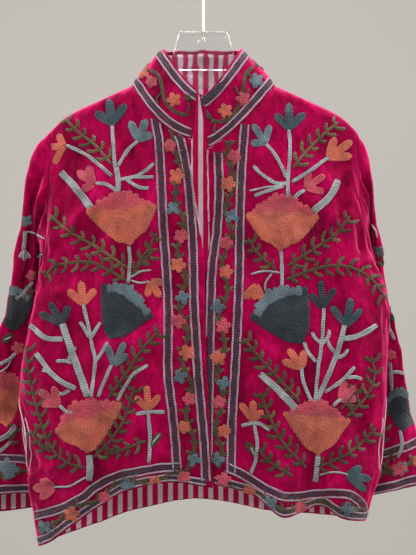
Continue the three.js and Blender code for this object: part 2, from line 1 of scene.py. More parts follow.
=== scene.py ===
# A magenta velvet suzani jacket with wool chain stitch, lined with striped cotton, on a clear hanger.
# Lengths are in millimetres until a mesh is made, then in metres.
import math

import bpy
import numpy as np
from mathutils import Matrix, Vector
from mathutils.bvhtree import BVHTree


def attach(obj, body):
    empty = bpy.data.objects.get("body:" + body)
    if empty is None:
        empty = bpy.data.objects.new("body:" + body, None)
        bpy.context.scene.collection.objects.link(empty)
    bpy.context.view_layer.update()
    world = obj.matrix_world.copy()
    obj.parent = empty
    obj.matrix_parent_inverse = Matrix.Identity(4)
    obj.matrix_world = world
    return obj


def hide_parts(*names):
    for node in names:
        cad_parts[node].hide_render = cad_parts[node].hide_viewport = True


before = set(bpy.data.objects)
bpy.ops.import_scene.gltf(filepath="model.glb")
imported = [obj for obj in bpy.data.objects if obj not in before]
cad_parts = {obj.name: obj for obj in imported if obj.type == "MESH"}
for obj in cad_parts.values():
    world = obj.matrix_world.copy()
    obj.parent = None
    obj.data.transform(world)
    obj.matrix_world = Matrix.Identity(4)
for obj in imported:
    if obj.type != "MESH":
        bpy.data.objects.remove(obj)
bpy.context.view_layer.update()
rng = np.random.default_rng(7)

# Camera, set first because the embroidery is placed through it
EYE = np.array([6.3, -1600.0, -448.5])
SCALE = 1.4  # millimetres to a photo pixel at y = 0
CENTRE = (208.0, 277.5)

# Cloth
VELVET = 1.6
COTTON = 0.9
LINING = -2.2 - COTTON
SLACK = 1.6  # more room under a creased sleeve
SEAM = 0.3

NECK = {"half": 100, "front": 50, "back": 42, "z": -180.5, "back_drop": 10}
NECK_FRONT = {"right": (81.5, 2.2), "left": (95.5, 1.4)}  # drop, power
COLLAR = {"front": 50, "back": 38, "z": -129, "back_rise": 5, "bulge": 2.5}
COLLAR_TOP = {"right": (56, 69, 1.5, -6.3), "left": (53, 72, 1.3, -5.4)}  # half, drop, power, end x
COLLAR_GAP = 0.006

# x, z
SHOULDER = [(100, -180.5), (125, -191.5), (150, -203), (175, -214.5), (195, -226), (213, -243)]
TIP_X, TIP_Z = SHOULDER[-1]

# down, front x, back x, front turn, back turn
ARMHOLE = {
    "right": [
        (0, 213, 213, 70, 70),
        (0.25, 216, 206, 73, 70),
        (0.5, 218, 203, 76, 69),
        (0.75, 221, 209, 81, 74),
        (1, 227, 227, 90, 90),
    ],
    "left": [
        (0, 213, 213, 70, 70),
        (0.25, 221, 207, 73, 70),
        (0.5, 226, 205, 76, 69),
        (0.75, 231, 213, 81, 74),
        (1, 240, 240, 90, 90),
    ],
}
ARM_SHARE = 0.34

# z, x
SIDE = {
    "right": [
        (-440, 227), (-479, 236), (-514, 243), (-563, 253), (-624, 258),
        (-680, 254), (-726, 244), (-774, 239), (-824, 231),
    ],
    "left": [
        (-428, 240), (-459, 254), (-494, 261), (-550, 258), (-610, 256),
        (-673, 255), (-722, 246), (-754, 237), (-788, 227),
    ],
}

# z, front, back, seam
DEPTH = [
    (-180, 36, 34, 0),
    (-243, 44, 38, 0),
    (-300, 48, 40, 2),
    (-348, 52, 42, 4),
    (-440, 55, 44, 5),
    (-563, 60, 48, 0),
    (-680, 62, 50, 0),
    (-824, 62, 52, 0),
]

# z, x
FRONT_EDGE = {
    "right": [
        (-262, -15), (-289, -19), (-343, -9), (-398, -2.2), (-431, 1.4), (-537, 3.6), (-666, 9),
        (-731, 13),
    ],
    "left": [
        (-276, 5), (-292, 9), (-353, 7), (-398, 8.5), (-431, 3.8), (-480, 0), (-537, -1), (-731, -2),
    ],
}
LAP = {"rise": 4, "from": -385, "to": -440, "across": 0.35}

# x, z
FRONT_HEM = {
    "right": [
        (-231, -824), (-205, -810), (-183, -793), (-143, -765), (-97, -737), (-42, -724), (13, -731),
    ],
    "left": [
        (-2, -727), (12, -727), (67, -745), (102, -771), (128, -770), (156, -762), (185, -777),
        (227, -788),
    ],
}
BACK_HEM = [
    (-231, -824), (-173, -807), (-143, -799), (-84, -779), (-20, -769), (45, -774), (120, -786), (227, -788),
]
SIDE_HEM = {"right": -824, "left": -788}
MIDDLE_HEM = -731.0

# x, top, full, lean, width, rise
FOLDS = {
    "front_right": [
        (-186, -560, -780, 0.02, 30, 10),
        (-128, -600, -740, 0.05, 24, -9),
        (-70, -420, -700, 0, 34, 5),
        (-150, -300, -460, -0.1, 26, -4),
    ],
    "front_left": [
        (150, -640, -765, -0.05, 25, -20),
        (104, -560, -760, 0.02, 26, 11),
        (193, -600, -770, 0.05, 20, 9),
        (60, -420, -700, 0, 30, -5),
        (170, -300, -420, 0.22, 22, 5),
    ],
    "back": [
        (-150, -430, -760, 0.05, 34, 10),
        (-85, -380, -740, 0.02, 28, -9),
        (-10, -360, -740, 0, 38, 7),
        (70, -400, -750, 0.03, 26, -9),
        (140, -430, -770, 0.04, 32, 10),
    ],
}
FOLD_RUN_IN = 45
ROLL = {"share": 0.55, "quick": 14, "slow": 160}  # how the shoulder seam turns down into the body

POCKET = {"top": -619, "bottom": -716, "right": 15, "left": 11}

SLEEVE = {
    "right": {"x": 288, "y": 58, "z": -775, "half": 75, "depth": 28, "lean": -5, "tilt": 17, "bow": 16},
    "left": {"x": 250, "y": 55, "z": -762, "half": 75, "depth": 28, "lean": 12, "tilt": 6, "bow": 9},
}
SLEEVE_GAP = 0.9
BEHIND = {"front": 27, "back": 9, "by": 0.12, "more": 12, "more_by": 0.3, "until": 0.65}
FULLNESS = 15
UNDERARM = {"out": 12, "by": 0.2, "seam": 0.0007}
# along, width, rise, slant
SLEEVE_FOLDS = [
    (0.2, 0.035, -3.5, 0.1),
    (0.34, 0.04, 3, -0.12),
    (0.47, 0.035, -4, 0.14),
    (0.62, 0.045, 3, -0.08),
    (0.78, 0.05, -2.5, 0.1),
]

NECK_SHARE = 0.4  # of a panel's top, the rest being the shoulder
SEAM_REACH = 14  # the distance over which creases die out at a seam
TURNED = 3  # rows of quads in a turned edge

# Creases laid on the body: x, z at each end, width, rise
CREASES = {
    "front_right": [
        (-243, -729, -222, -700, 5, 3), (-243, -729, -200, -722, 5, 3), (-240, -730, -228, -762, 5, 2.6),
        (-204, -290, -210, -420, 6, 3), (-226, -440, -180, -470, 7, 2.6), (-232, -470, -214, -560, 7, 2.6),
        (-205, -395, -150, -335, 7.6, 4), (-200, -425, -140, -390, 6.8, -3.2),
        (-212, -470, -165, -455, 7.6, 2.9), (-228, -560, -196, -655, 8.5, 4.3),
        (-238, -690, -205, -740, 7.6, -4), (-196, -250, -176, -330, 8.5, 3.2),
        (-120, -235, -95, -290, 8.5, -2.2), (-60, -560, -40, -640, 8.5, 2.2),
        (-160, -745, -120, -700, 7.6, 3.2), (-60, -300, -40, -370, 8.5, 2.2),
        (-175, -600, -130, -560, 7.6, -2.2), (-90, -650, -60, -700, 6.8, 2.5),
        (-214, -275, -222, -470, 5, 3.4), (-236, -500, -243, -610, 6, 3),
        (-190, -310, -196, -430, 7, -2.4),
    ],
    "front_left": [
        (212, -262, 204, -420, 7, 3.6), (224, -300, 219, -430, 5, -3), (232, -425, 168, -452, 6, 3.4),
        (236, -440, 196, -500, 7, 3), (120, -215, 96, -250, 7, 2.6), (150, -228, 130, -262, 6, 2),
        (200, -300, 150, -350, 7.6, 4), (214, -340, 160, -410, 7.6, -3.6),
        (226, -420, 176, -440, 7.6, 3.2), (236, -500, 205, -560, 8.5, 4),
        (232, -600, 206, -680, 7.6, -3.6), (120, -240, 100, -300, 8.5, -2.5),
        (60, -560, 44, -650, 8.5, 2.2), (90, -700, 120, -745, 7.6, -3.2), (176, -690, 160, -745, 6, -4),
        (50, -330, 34, -400, 8.5, 2.2), (150, -480, 110, -520, 8.5, 2.2), (214, -720, 190, -770, 6.8, 3.2),
        (214, -280, 226, -420, 5, 3.2), (244, -470, 248, -600, 6, 3), (192, -300, 198, -420, 7, -2.4),
    ],
    "back": [
        (-196, -300, -150, -350, 8.5, 3.6), (-205, -380, -150, -420, 7.6, -3.2),
        (196, -300, 150, -350, 8.5, 3.6), (205, -380, 150, -420, 7.6, -3.2),
        (-60, -240, 60, -236, 8.5, -2.2), (-120, -480, -90, -560, 8.5, 2.7),
        (30, -500, 60, -600, 9.3, 2.5), (180, -560, 150, -660, 8.5, -2.9),
        (-190, -600, -170, -700, 8.5, 3.2), (-40, -660, -10, -740, 7.6, 2.2),
        (100, -660, 120, -740, 7.6, 2.9), (0, -320, 20, -400, 10.2, 1.8),
    ],
}

# The same on a sleeve: millimetres round from the underarm and down from the top
SLEEVE_CREASES = {
    "sleeve_right": [
        (96, 5, 84, 170, 8.1, 6.8), (78, 15, 70, 130, 6.3, -6), (118, 0, 104, 150, 7.2, -4.5),
        (62, 30, 60, 210, 8.1, 5.2), (140, 10, 120, 210, 9.9, 4.5), (90, 190, 60, 300, 9.9, 4.5),
        (115, 220, 75, 310, 8.1, -4.5), (60, 330, 110, 400, 9.9, 4.5), (120, 400, 70, 470, 9, 2.4),
        (190, 30, 180, 240, 11.7, 4.5), (225, 60, 215, 300, 10.8, -3.8), (250, 250, 200, 380, 10.8, 3.8),
        (170, 270, 215, 350, 10.8, -3), (90, 440, 120, 500, 9, 3),
    ],
    "sleeve_left": [
        (94, 8, 80, 150, 8.1, 6), (112, 0, 98, 170, 7.2, -5.2), (74, 20, 66, 190, 7.2, 5.2),
        (134, 10, 118, 220, 9.9, 4.5), (60, 60, 58, 160, 6.3, -4.5), (110, 210, 66, 320, 9, 4.5),
        (64, 260, 108, 330, 9, -4.5), (120, 360, 74, 450, 9.9, 3.8), (185, 40, 176, 260, 11.7, 4.5),
        (220, 40, 212, 280, 10.8, -3.8), (245, 240, 196, 370, 10.8, 3.8), (165, 270, 210, 340, 10.8, -3),
        (84, 430, 118, 490, 9, 3),
    ],
}

HAND = {"right": -1.0, "left": 1.0}


def ease(t):
    t = np.clip(t, 0, 1)
    return t * t * (3 - 2 * t)


def mix(a, b, t):
    return a + (b - a) * t


def look(table, at, column):
    """Smooth value of one column of a table at places along its first."""
    keys = np.array([row[0] for row in table], float)
    values = np.array([row[column] for row in table], float)
    if keys[0] > keys[-1]:
        keys, values = keys[::-1], values[::-1]
    slopes = np.empty_like(values)
    slopes[1:-1] = (values[2:] - values[:-2]) / (keys[2:] - keys[:-2])
    slopes[0] = (values[1] - values[0]) / (keys[1] - keys[0])
    slopes[-1] = (values[-1] - values[-2]) / (keys[-1] - keys[-2])
    i = np.clip(np.searchsorted(keys, at) - 1, 0, len(keys) - 2)
    h = keys[i + 1] - keys[i]
    t = np.clip((at - keys[i]) / h, 0, 1)
    return (
        values[i] * (1 + 2 * t) * (1 - t) ** 2
        + values[i + 1] * t * t * (3 - 2 * t)
        + slopes[i] * h * t * (1 - t) ** 2
        - slopes[i + 1] * h * t * t * (1 - t)
    )


def neck_point(side, angle):
    s, c = np.sin(angle), np.cos(angle)
    drop, power = NECK_FRONT[side]
    front = NECK["z"] - drop * (1 - np.abs(s) ** power)
    back = NECK["z"] - NECK["back_drop"] * c * c
    z = np.where(c > 0, front, back)
    y = -c * np.where(c > 0, NECK["front"], NECK["back"])
    return np.stack([HAND[side] * NECK["half"] * s, y, z], -1)


def neck_end(side):
    return math.asin(HAND[side] * FRONT_EDGE[side][0][1] / NECK["half"])


def top_point(side, front, u):
    """A panel's top: the neck, then the shoulder seam."""
    start = neck_end(side) if front else math.pi
    neck = neck_point(side, mix(start, math.pi / 2, np.minimum(u / NECK_SHARE, 1)))
    x = mix(NECK["half"], TIP_X, (u - NECK_SHARE) / (1 - NECK_SHARE))
    seam = np.stack([HAND[side] * x, 0 * x, look(SHOULDER, x, 1)], -1)
    return np.where((u <= NECK_SHARE)[..., None], neck, seam)


def pocket_open(z):
    t = np.clip((POCKET["top"] - z) / (POCKET["top"] - POCKET["bottom"]), 0, 1)
    return np.sin(math.pi * t) ** 0.7


def side_edge(side, front, z):
    """x of a panel's side edge and its angle round the body: the armhole, then the side seam."""
    level = (TIP_Z - z) / (TIP_Z - SIDE_HEM[side])
    down = np.clip(level, 0, ARM_SHARE) / ARM_SHARE
    arm_x = look(ARMHOLE[side], down, 1 if front else 2)
    arm_turn = np.radians(look(ARMHOLE[side], down, 3 if front else 4))
    turn = np.radians(90 - (POCKET[side] * pocket_open(z) if front else 0 * z))
    in_arm = level < ARM_SHARE - 1e-6
    x = np.where(in_arm, arm_x, look(SIDE[side], z, 1) * np.sin(turn))
    return x, np.where(in_arm, arm_turn, turn)


def section_angle(side, front, u, z, edge_x, turn):
    if not front:
        return turn * u
    x = HAND[side] * look(FRONT_EDGE[side], z, 1)
    return mix(np.arcsin(x / edge_x * np.sin(turn)), turn, u)


def body_point(side, front, u, v):
    """Outer face of a body panel: u from the centre to the side, v from the top to the hem."""
    h = HAND[side]
    top = top_point(side, front, u)
    hem = FRONT_HEM[side] if front else BACK_HEM
    end_x, end_turn = side_edge(side, front, np.full_like(u, SIDE_HEM[side]))
    end_angle = section_angle(side, front, u, np.full_like(u, MIDDLE_HEM), end_x, end_turn)
    hem_x = end_x * np.sin(end_angle) / np.sin(end_turn)
    z = mix(top[..., 2], look(hem, h * hem_x, 1), v)

    edge_x, turn = side_edge(side, front, z)
    angle = section_angle(side, front, u, z, edge_x, turn)
    x = mix(top[..., 0], h * edge_x * np.sin(angle) / np.sin(turn), ease(v / 0.3))

    facing = -1 if front else 1
    depth = look(DEPTH, z, 1 if front else 2) * np.cos(angle)
    section_y = look(DEPTH, z, 3) + facing * depth
    below = top[..., 2] - z
    roll = ROLL["share"] * ease((u - 0.6 * NECK_SHARE) / (0.4 * NECK_SHARE))
    quick = np.sqrt(1 - (1 - np.clip(below / ROLL["quick"], 0, 1)) ** 2)
    y = mix(top[..., 1], section_y, roll * quick + (1 - roll) * ease(below / ROLL["slow"]))

    name = ("front_" + side) if front else "back"
    rise = 0 * x
    for fold_x, fold_top, full, lean, width, height in FOLDS[name]:
        grown = ease((fold_top - z) / (fold_top - full))
        off = (x - fold_x - lean * (fold_top - z)) / width
        rise = rise + height * grown * np.exp(-off * off)
    y = y + facing * rise * np.cos(angle) * ease(below / FOLD_RUN_IN)
    if front and side == "right":
        lapped = ease((LAP["from"] - z) / (LAP["from"] - LAP["to"])) * (1 - ease(u / LAP["across"]))
        y = y - LAP["rise"] * lapped
    sewn = ((below < SEAM) & (u >= NECK_SHARE)) | ((u > 0.9999) & (v >= ARM_SHARE))
    y = y + np.where(sewn, facing * SEAM / 2, 0)
    return np.stack([x, y, z], -1)


def armhole_point(side, around):
    v = ARM_SHARE * np.abs(1 - 2 * around)
    ones = np.ones_like(v)
    front = (around < 0.5)[..., None]
    return np.where(front, body_point(side, True, ones, v), body_point(side, False, ones, v))


def sleeve_point(side, around, along):
    """Outer face of a sleeve: round the tube from the underarm over the front, and along it to the cuff."""
    h, cuff = HAND[side], SLEEVE[side]
    turn = 2 * math.pi * around
    gap = np.array([h, 0, -0.8])
    start = armhole_point(side, around) + SLEEVE_GAP * gap / np.linalg.norm(gap)
    out, front, lean = -cuff["half"] * np.cos(turn), np.sin(turn), math.radians(cuff["lean"])
    end = np.stack([
        h * (cuff["x"] + out * math.cos(lean)),
        cuff["y"] - cuff["depth"] * front,
        cuff["z"] + out * math.sin(lean) + cuff["tilt"] * front,
    ], -1)
    point = mix(start, end, along[..., None])
    outer = (1 - np.cos(turn)) / 2
    cap = along / 0.1
    point[..., 0] += h * cuff["bow"] * cap * np.exp(1 - cap) * outer
    spread = np.sin(math.pi * np.clip(along / UNDERARM["by"], 0, 1))
    point[..., 0] += h * UNDERARM["out"] * spread * (1 - outer) ** 3
    left = 1 - ease((along - BEHIND["until"]) / (1 - BEHIND["until"]))
    quick = mix(BEHIND["back"], BEHIND["front"], (1 + front) / 2)
    back = quick * ease(along / BEHIND["by"]) + BEHIND["more"] * ease(along / BEHIND["more_by"])
    point[..., 1] += back * (1 - 0.7 * outer * outer) * left
    point[..., 1] += FULLNESS * np.maximum(-front, 0) * np.sin(math.pi * along)
    return point


def creased_sleeve(side, around, along):
    point = sleeve_point(side, around, along)
    centre = sum(sleeve_point(side, np.full_like(around, q), along) for q in (0, 0.25, 0.5, 0.75)) / 4
    rise = 0 * along
    for at, width, height, slant in SLEEVE_FOLDS:
        off = (along - at - slant * (around - 0.5)) / width
        rise = rise + height * np.exp(-off * off)
    out = point - centre
    out /= np.linalg.norm(out, axis=-1, keepdims=True)
    return point + out * (rise * ease(along / 0.15) * ease((1 - along) / 0.08))[..., None]


def collar_point(across, up):
    """Outer face of the collar: across from the right end round the back to the left, and up."""
    made = np.empty(across.shape + (3,))
    for side in ("right", "left"):
        here = across < 0 if side == "right" else across >= 0
        share, rise = np.abs(across[here]), up[here]
        half, drop, power, end_x = COLLAR_TOP[side]
        h = HAND[side]
        top = mix(math.pi, math.asin(h * end_x / half), share)
        s, c = np.sin(top), np.cos(top)
        front = COLLAR["z"] - drop * (1 - np.abs(s) ** power)
        z = np.where(c > 0, front, COLLAR["z"] + COLLAR["back_rise"] * c * c)
        y = -c * np.where(c > 0, COLLAR["front"], COLLAR["back"])
        rim = np.stack([h * half * s, y, z], -1)
        end = neck_end(side)
        behind, before = mix(math.pi, math.pi / 2, share * 2), mix(math.pi / 2, end, share * 2 - 1)
        angle = np.where(share < 0.5, behind, before)
        s = np.sin(angle)
        normal = np.stack([h * s, -np.cos(angle), 0.15 + 0.6 * s * s], -1)
        normal /= np.linalg.norm(normal, axis=-1, keepdims=True)
        point = mix(neck_point(side, angle), rim, mix(COLLAR_GAP, 1, rise)[..., None])
        made[here] = point + normal * (COLLAR["bulge"] * np.sin(math.pi * rise))[..., None]
    return made


# Small unevenness of the cloth: a smooth random field from waves of several lengths
PUCKER = 0.2
WAVES = [
    (rng.uniform(0, 2 * math.pi), length, rng.uniform(0, 2 * math.pi))
    for length in (70, 55, 44, 36, 30, 26, 22, 19, 16) * 4
]


def puckers(a, b):
    total = 0 * a
    for turn, length, phase in WAVES:
        k = 2 * math.pi / length
        total = total + length / 40 * np.cos(k * (a * math.cos(turn) + b * math.sin(turn)) + phase)
    return PUCKER * total


CREASE = {"sway": 4, "past": 0.3, "fade": 0.5}  # the last two in lengths of the crease


def crease(a, b, line):
    """Height of one crease at places a, b: a soft ridge along a swaying line."""
    ax, az, bx, bz, width, rise = line
    long = math.hypot(bx - ax, bz - az)
    tx, tz = (bx - ax) / long, (bz - az) / long
    s = ((a - ax) * tx + (b - az) * tz) / long
    off = (a - ax) * -tz + (b - az) * tx + CREASE["sway"] * np.sin(3 * s)
    begun, left = ((part + CREASE["past"]) / CREASE["fade"] for part in (s, 1 - s))
    return rise * np.exp(-((off / width) ** 2)) * ease(begun) * ease(left)


def normals_of(points, flip):
    across = np.gradient(points, axis=1)
    down = np.gradient(points, axis=0)
    n = np.cross(across, down) * flip
    return n / np.maximum(np.linalg.norm(n, axis=-1, keepdims=True), 1e-9)


def seam_fade(points, ends):
    """1 inside a panel, easing to 0 at the sewn ends of its grid: top, bottom, first and last column."""
    step_down = np.linalg.norm(np.diff(points, axis=0), axis=-1).mean(1)
    step_across = np.linalg.norm(np.diff(points, axis=1), axis=-1).mean(0)
    down = np.concatenate([[0], np.cumsum(step_down)])
    across = np.concatenate([[0], np.cumsum(step_across)])
    fade = np.ones(points.shape[:2])
    off = (down[:, None], (down[-1] - down)[:, None], across[None, :], (across[-1] - across)[None, :])
    for sewn, distance in zip(ends, off):
        if sewn:
            fade *= ease(distance / SEAM_REACH)
    return fade, across, down


class Grid:
    """A panel's outer face as a grid of points with normals and flat coordinates."""

    def __init__(self, points, flip, ends, name=None):
        normal = normals_of(points, flip)
        fade, across, down = seam_fade(points, ends)
        a, b = np.meshgrid(across, down)
        rise = puckers(a, b)
        for line in CREASES.get(name, []):
            rise = rise + crease(points[..., 0], points[..., 2], line)
        for line in SLEEVE_CREASES.get(name, []):
            rise = rise + crease(a, b, line)
        self.points = points + normal * (rise * fade)[..., None]
        self.normals = normals_of(self.points, flip)
        self.flat = np.stack([a, b], -1)
        self.flip = flip


def body_grid(side, front, columns, rows, last):
    u, v = np.meshgrid(np.linspace(0, 1, columns), last * np.linspace(0, 1, rows) ** 1.1)
    return body_point(side, front, u, v)


def front_grid(side, columns=110, rows=170, last=1.0):
    flip = 1 if side == "right" else -1
    return Grid(body_grid(side, True, columns, rows, last), flip, (True, False, False, True), "front_" + side)


def back_grid(columns=100, rows=160, last=1.0):
    right = body_grid("right", False, columns, rows, last)[:, ::-1]
    left = body_grid("left", False, columns, rows, last)[:, 1:]
    return Grid(np.concatenate([right, left], 1), 1, (True, False, True, True), "back")


def sleeve_grid(side, columns=150, rows=170, first=0.0):
    around = np.linspace(UNDERARM["seam"], 1 - UNDERARM["seam"], columns)
    around, along = np.meshgrid(around, np.linspace(first, 1, rows))
    flip = 1 if side == "right" else -1
    name = "sleeve_" + side if first == 0 else None
    return Grid(creased_sleeve(side, around, along), flip, (first == 0, False, True, True), name)


def collar_grid(columns=200, rows=24):
    across, up = np.meshgrid(np.linspace(-1, 1, columns), np.linspace(1, 0, rows))
    return Grid(collar_point(across, up), 1, (False, True, False, False))


def link(obj):
    bpy.context.scene.collection.objects.link(obj)
    return obj


def mesh_object(name, verts, faces, uvs=None, materials=(), slots=None, smooth=True):
    mesh = bpy.data.meshes.new(name)
    mesh.from_pydata((np.asarray(verts) * 0.001).tolist(), [], faces)
    if uvs is not None:
        layer = mesh.uv_layers.new(name="flat")
        corners = np.empty(len(mesh.loops), int)
        mesh.loops.foreach_get("vertex_index", corners)
        layer.data.foreach_set("uv", (np.asarray(uvs)[corners] * 0.001).ravel())
    for material in materials:
        mesh.materials.append(material)
    if slots is not None:
        mesh.polygons.foreach_set("material_index", slots)
    mesh.polygons.foreach_set("use_smooth", [smooth] * len(mesh.polygons))
    mesh.update()
    return link(bpy.data.objects.new(name, mesh))


def cloth(name, grid, face, back, material):
    """A sheet at one depth below the grid's face, with its edges turned over to another depth."""
    rows, columns = grid.points.shape[:2]
    outer = grid.points + grid.normals * face
    inner = grid.points + grid.normals * back
    verts = np.concatenate([outer.reshape(-1, 3), inner.reshape(-1, 3)])
    uvs = np.concatenate([grid.flat.reshape(-1, 2)] * 2)
    ids = np.arange(rows * columns).reshape(rows, columns)
    a, b, c, d = ids[:-1, :-1], ids[:-1, 1:], ids[1:, 1:], ids[1:, :-1]
    way = grid.flip if face > back else -grid.flip
    quads = np.stack([a, b, c, d] if way > 0 else [a, d, c, b], -1)
    faces = quads.reshape(-1, 4).tolist()
    under = rows * columns
    near = np.zeros((rows - 1, columns - 1), bool)
    near[:TURNED] = near[-TURNED:] = True
    near[:, :TURNED] = near[:, -TURNED:] = True
    faces += (quads[near][:, ::-1] + under).tolist()
    rim = np.concatenate([ids[0, :-1], ids[:-1, -1], ids[-1, ::-1][:-1], ids[::-1, 0][:-1]])
    rim = np.append(rim, rim[0])
    for p, q in zip(rim[:-1].tolist(), rim[1:].tolist()):
        quad = [p, q, q + under, p + under]
        faces.append(quad[::-1] if way > 0 else quad)
    return mesh_object(name, verts, faces, uvs, [material])


# Materials
class Surface:
    """A material. Each method adds a node and gives its output."""

    def __init__(self, name, colour, roughness, **inputs):
        self.material = bpy.data.materials.new(name)
        self.material.use_nodes = True
        self.nodes = self.material.node_tree.nodes
        self.shader = self.nodes["Principled BSDF"]
        self.feed(self.shader.inputs["Base Color"], (*colour, 1))
        self.feed(self.shader.inputs["Roughness"], roughness)
        for key, value in inputs.items():
            self.feed(self.shader.inputs[key.replace("_", " ")], value)

    def feed(self, socket, value):
        """Link a socket to another node's output, or set its own value."""
        if isinstance(value, bpy.types.NodeSocket):
            self.material.node_tree.links.new(value, socket)
        else:
            socket.default_value = value

    def add(self, kind, **inputs):
        node = self.nodes.new("ShaderNode" + kind)
        for key, value in inputs.items():
            self.feed(node.inputs[key], value)
        return node

    def show(self, key, value):
        """Send an output to one of the shader's own sockets."""
        self.feed(self.shader.inputs[key], value)

    def place(self):
        return self.nodes.new("ShaderNodeTexCoord").outputs["Object"]

    def split(self, where):
        return self.add("SeparateXYZ", Vector=where).outputs

    def noise(self, where, scale, detail=3, roughness=0.5):
        node = self.add("TexNoise", Vector=where, Scale=scale, Detail=detail, Roughness=roughness)
        return node.outputs["Fac"]

    def facing(self, balance):
        return self.add("LayerWeight", Blend=balance).outputs["Facing"]

    def ramp(self, value, *stops):
        """Colours at places from 0 to 1. A number stands for a grey."""
        node = self.add("ValToRGB", Fac=value)
        elements = node.color_ramp.elements
        while len(elements) < len(stops):
            elements.new(0.5)
        for element, (at, colour) in zip(elements, stops):
            element.position = at
            element.color = (*(colour if isinstance(colour, tuple) else [colour] * 3), 1)
        return node.outputs["Color"]

    def blend(self, kind, a, b):
        node = self.nodes.new("ShaderNodeMix")
        node.data_type = "RGBA"
        node.blend_type = kind
        for socket, value in ((0, 1.0), (6, a), (7, b)):
            self.feed(node.inputs[socket], value)
        return node.outputs[2]

    def maths(self, operation, *values):
        node = self.nodes.new("ShaderNodeMath")
        node.operation = operation
        for socket, value in zip(node.inputs, values):
            self.feed(socket, value)
        return node.outputs[0]

    def bump(self, height, distance, strength, **under):
        node = self.add("Bump", Height=height, Distance=distance, Strength=strength, **under)
        self.show("Normal", node.outputs["Normal"])
        return node.outputs["Normal"]


BLACK = (0.0, 0.0, 0.0)
STRIPES = 0.0145  # metres from one red stripe to the next
LINK = 0.0036  # metres from one link of a chain stitch to the next


def velvet_material():
    made = Surface(
        "velvet", (0.24, 0.0, 0.035), 0.8,
        Sheen_Weight=1.0, Sheen_Roughness=0.35, Sheen_Tint=(1.0, 0.08, 0.3, 1), Specular_IOR_Level=0.04,
    )
    place = made.place()
    along = made.nodes.new("ShaderNodeVectorMath")
    along.operation = "MULTIPLY"
    made.feed(along.inputs[0], place)
    along.inputs[1].default_value = (1.0, 1.0, 0.42)
    crushed = made.noise(along.outputs[0], 24, 7, 0.72)
    brushed = made.noise(place, 120, 4, 0.62)
    base = made.ramp(
        crushed,
        (0.34, (0.12, 0.0, 0.018)), (0.45, (0.25, 0.0, 0.035)),
        (0.56, (0.36, 0.0, 0.054)), (0.7, (0.66, 0.004, 0.12)),
    )
    fine = made.ramp(brushed, (0.35, 0.8), (0.65, 1.1))
    # Painted shade: ambient occlusion darkens the velvet's colour close to the raised stitches and in deep
    # folds
    painted_shade_ao = made.add("AmbientOcclusion", Distance=0.012)
    painted_shade_ao.samples = 8
    shade = made.ramp(painted_shade_ao.outputs["AO"], (0.45, 0.5), (0.98, 1.0))
    # Painted sheen: a facing ramp adds a lighter pink to the velvet's colour towards grazing angles
    glow = made.ramp(made.facing(0.5), (0.42, BLACK), (0.95, (0.66, 0.06, 0.18)))
    pile_with_painted_shade = made.blend("MULTIPLY", made.blend("MULTIPLY", base, fine), shade)
    made.show("Base Color", made.blend("ADD", pile_with_painted_shade, glow))
    nap = made.maths("MULTIPLY", made.noise(place, 900, 2), 0.15)
    dents = made.bump(crushed, 0.008, 0.8)
    made.bump(made.maths("ADD", nap, brushed), 0.0022, 0.7, Normal=dents)
    return made.material


def cotton_material():
    made = Surface("striped_cotton", (0.8, 0.6, 0.65), 0.9, Specular_IOR_Level=0.2)
    place = made.place()
    x, _, z = made.split(place)
    wobble = made.maths("MULTIPLY", made.noise(place, 60, 2), 0.0012)
    share = made.maths("FRACT", made.maths("DIVIDE", made.maths("ADD", x, wobble), STRIPES))
    red, white = (0.58, 0.0, 0.085), (0.84, 0.66, 0.74)
    base = made.ramp(share, (0.0, red), (0.5, red), (0.54, white), (0.96, white), (1.0, red))
    tone = made.ramp(made.noise(place, 40, 4), (0.3, 0.8), (0.7, 1.0))
    made.show("Base Color", made.blend("MULTIPLY", base, tone))
    warp, weft = (made.maths("SINE", made.maths("MULTIPLY", part, 9000)) for part in (x, z))
    made.bump(made.maths("MULTIPLY", warp, weft), 0.0002, 0.4)
    return made.material


def bag_material():
    made = Surface("pocket_cotton", (0.8, 0.6, 0.65), 0.9)
    place = made.place()
    _, y, _ = made.split(place)
    share = made.maths("FRACT", made.maths("DIVIDE", y, STRIPES))
    red, white = (0.42, 0.0, 0.06), (0.9, 0.74, 0.8)
    base = made.ramp(share, (0.0, red), (0.47, red), (0.5, white), (0.97, white), (1.0, red))
    made.show("Base Color", base)
    made.bump(made.noise(place, 500, 2), 0.0003, 0.4)
    return made.material


WOOL = {
    "coral": (0.63, 0.075, 0.11),
    "orange": (0.62, 0.135, 0.08),
    "pink": (0.58, 0.07, 0.11),
    "slate": (0.021, 0.03, 0.042),
    "teal": (0.045, 0.085, 0.11),
    "steel": (0.14, 0.195, 0.225),
    "blue": (0.12, 0.18, 0.22),
    "pale": (0.39, 0.41, 0.415),
    "olive": (0.08, 0.047, 0.018),
    "moss": (0.13, 0.088, 0.034),
    "mauve": (0.39, 0.31, 0.36),
    "dusk": (0.045, 0.022, 0.05),
    "ecru": (0.68, 0.5, 0.56),
}
WOOLS = list(WOOL)


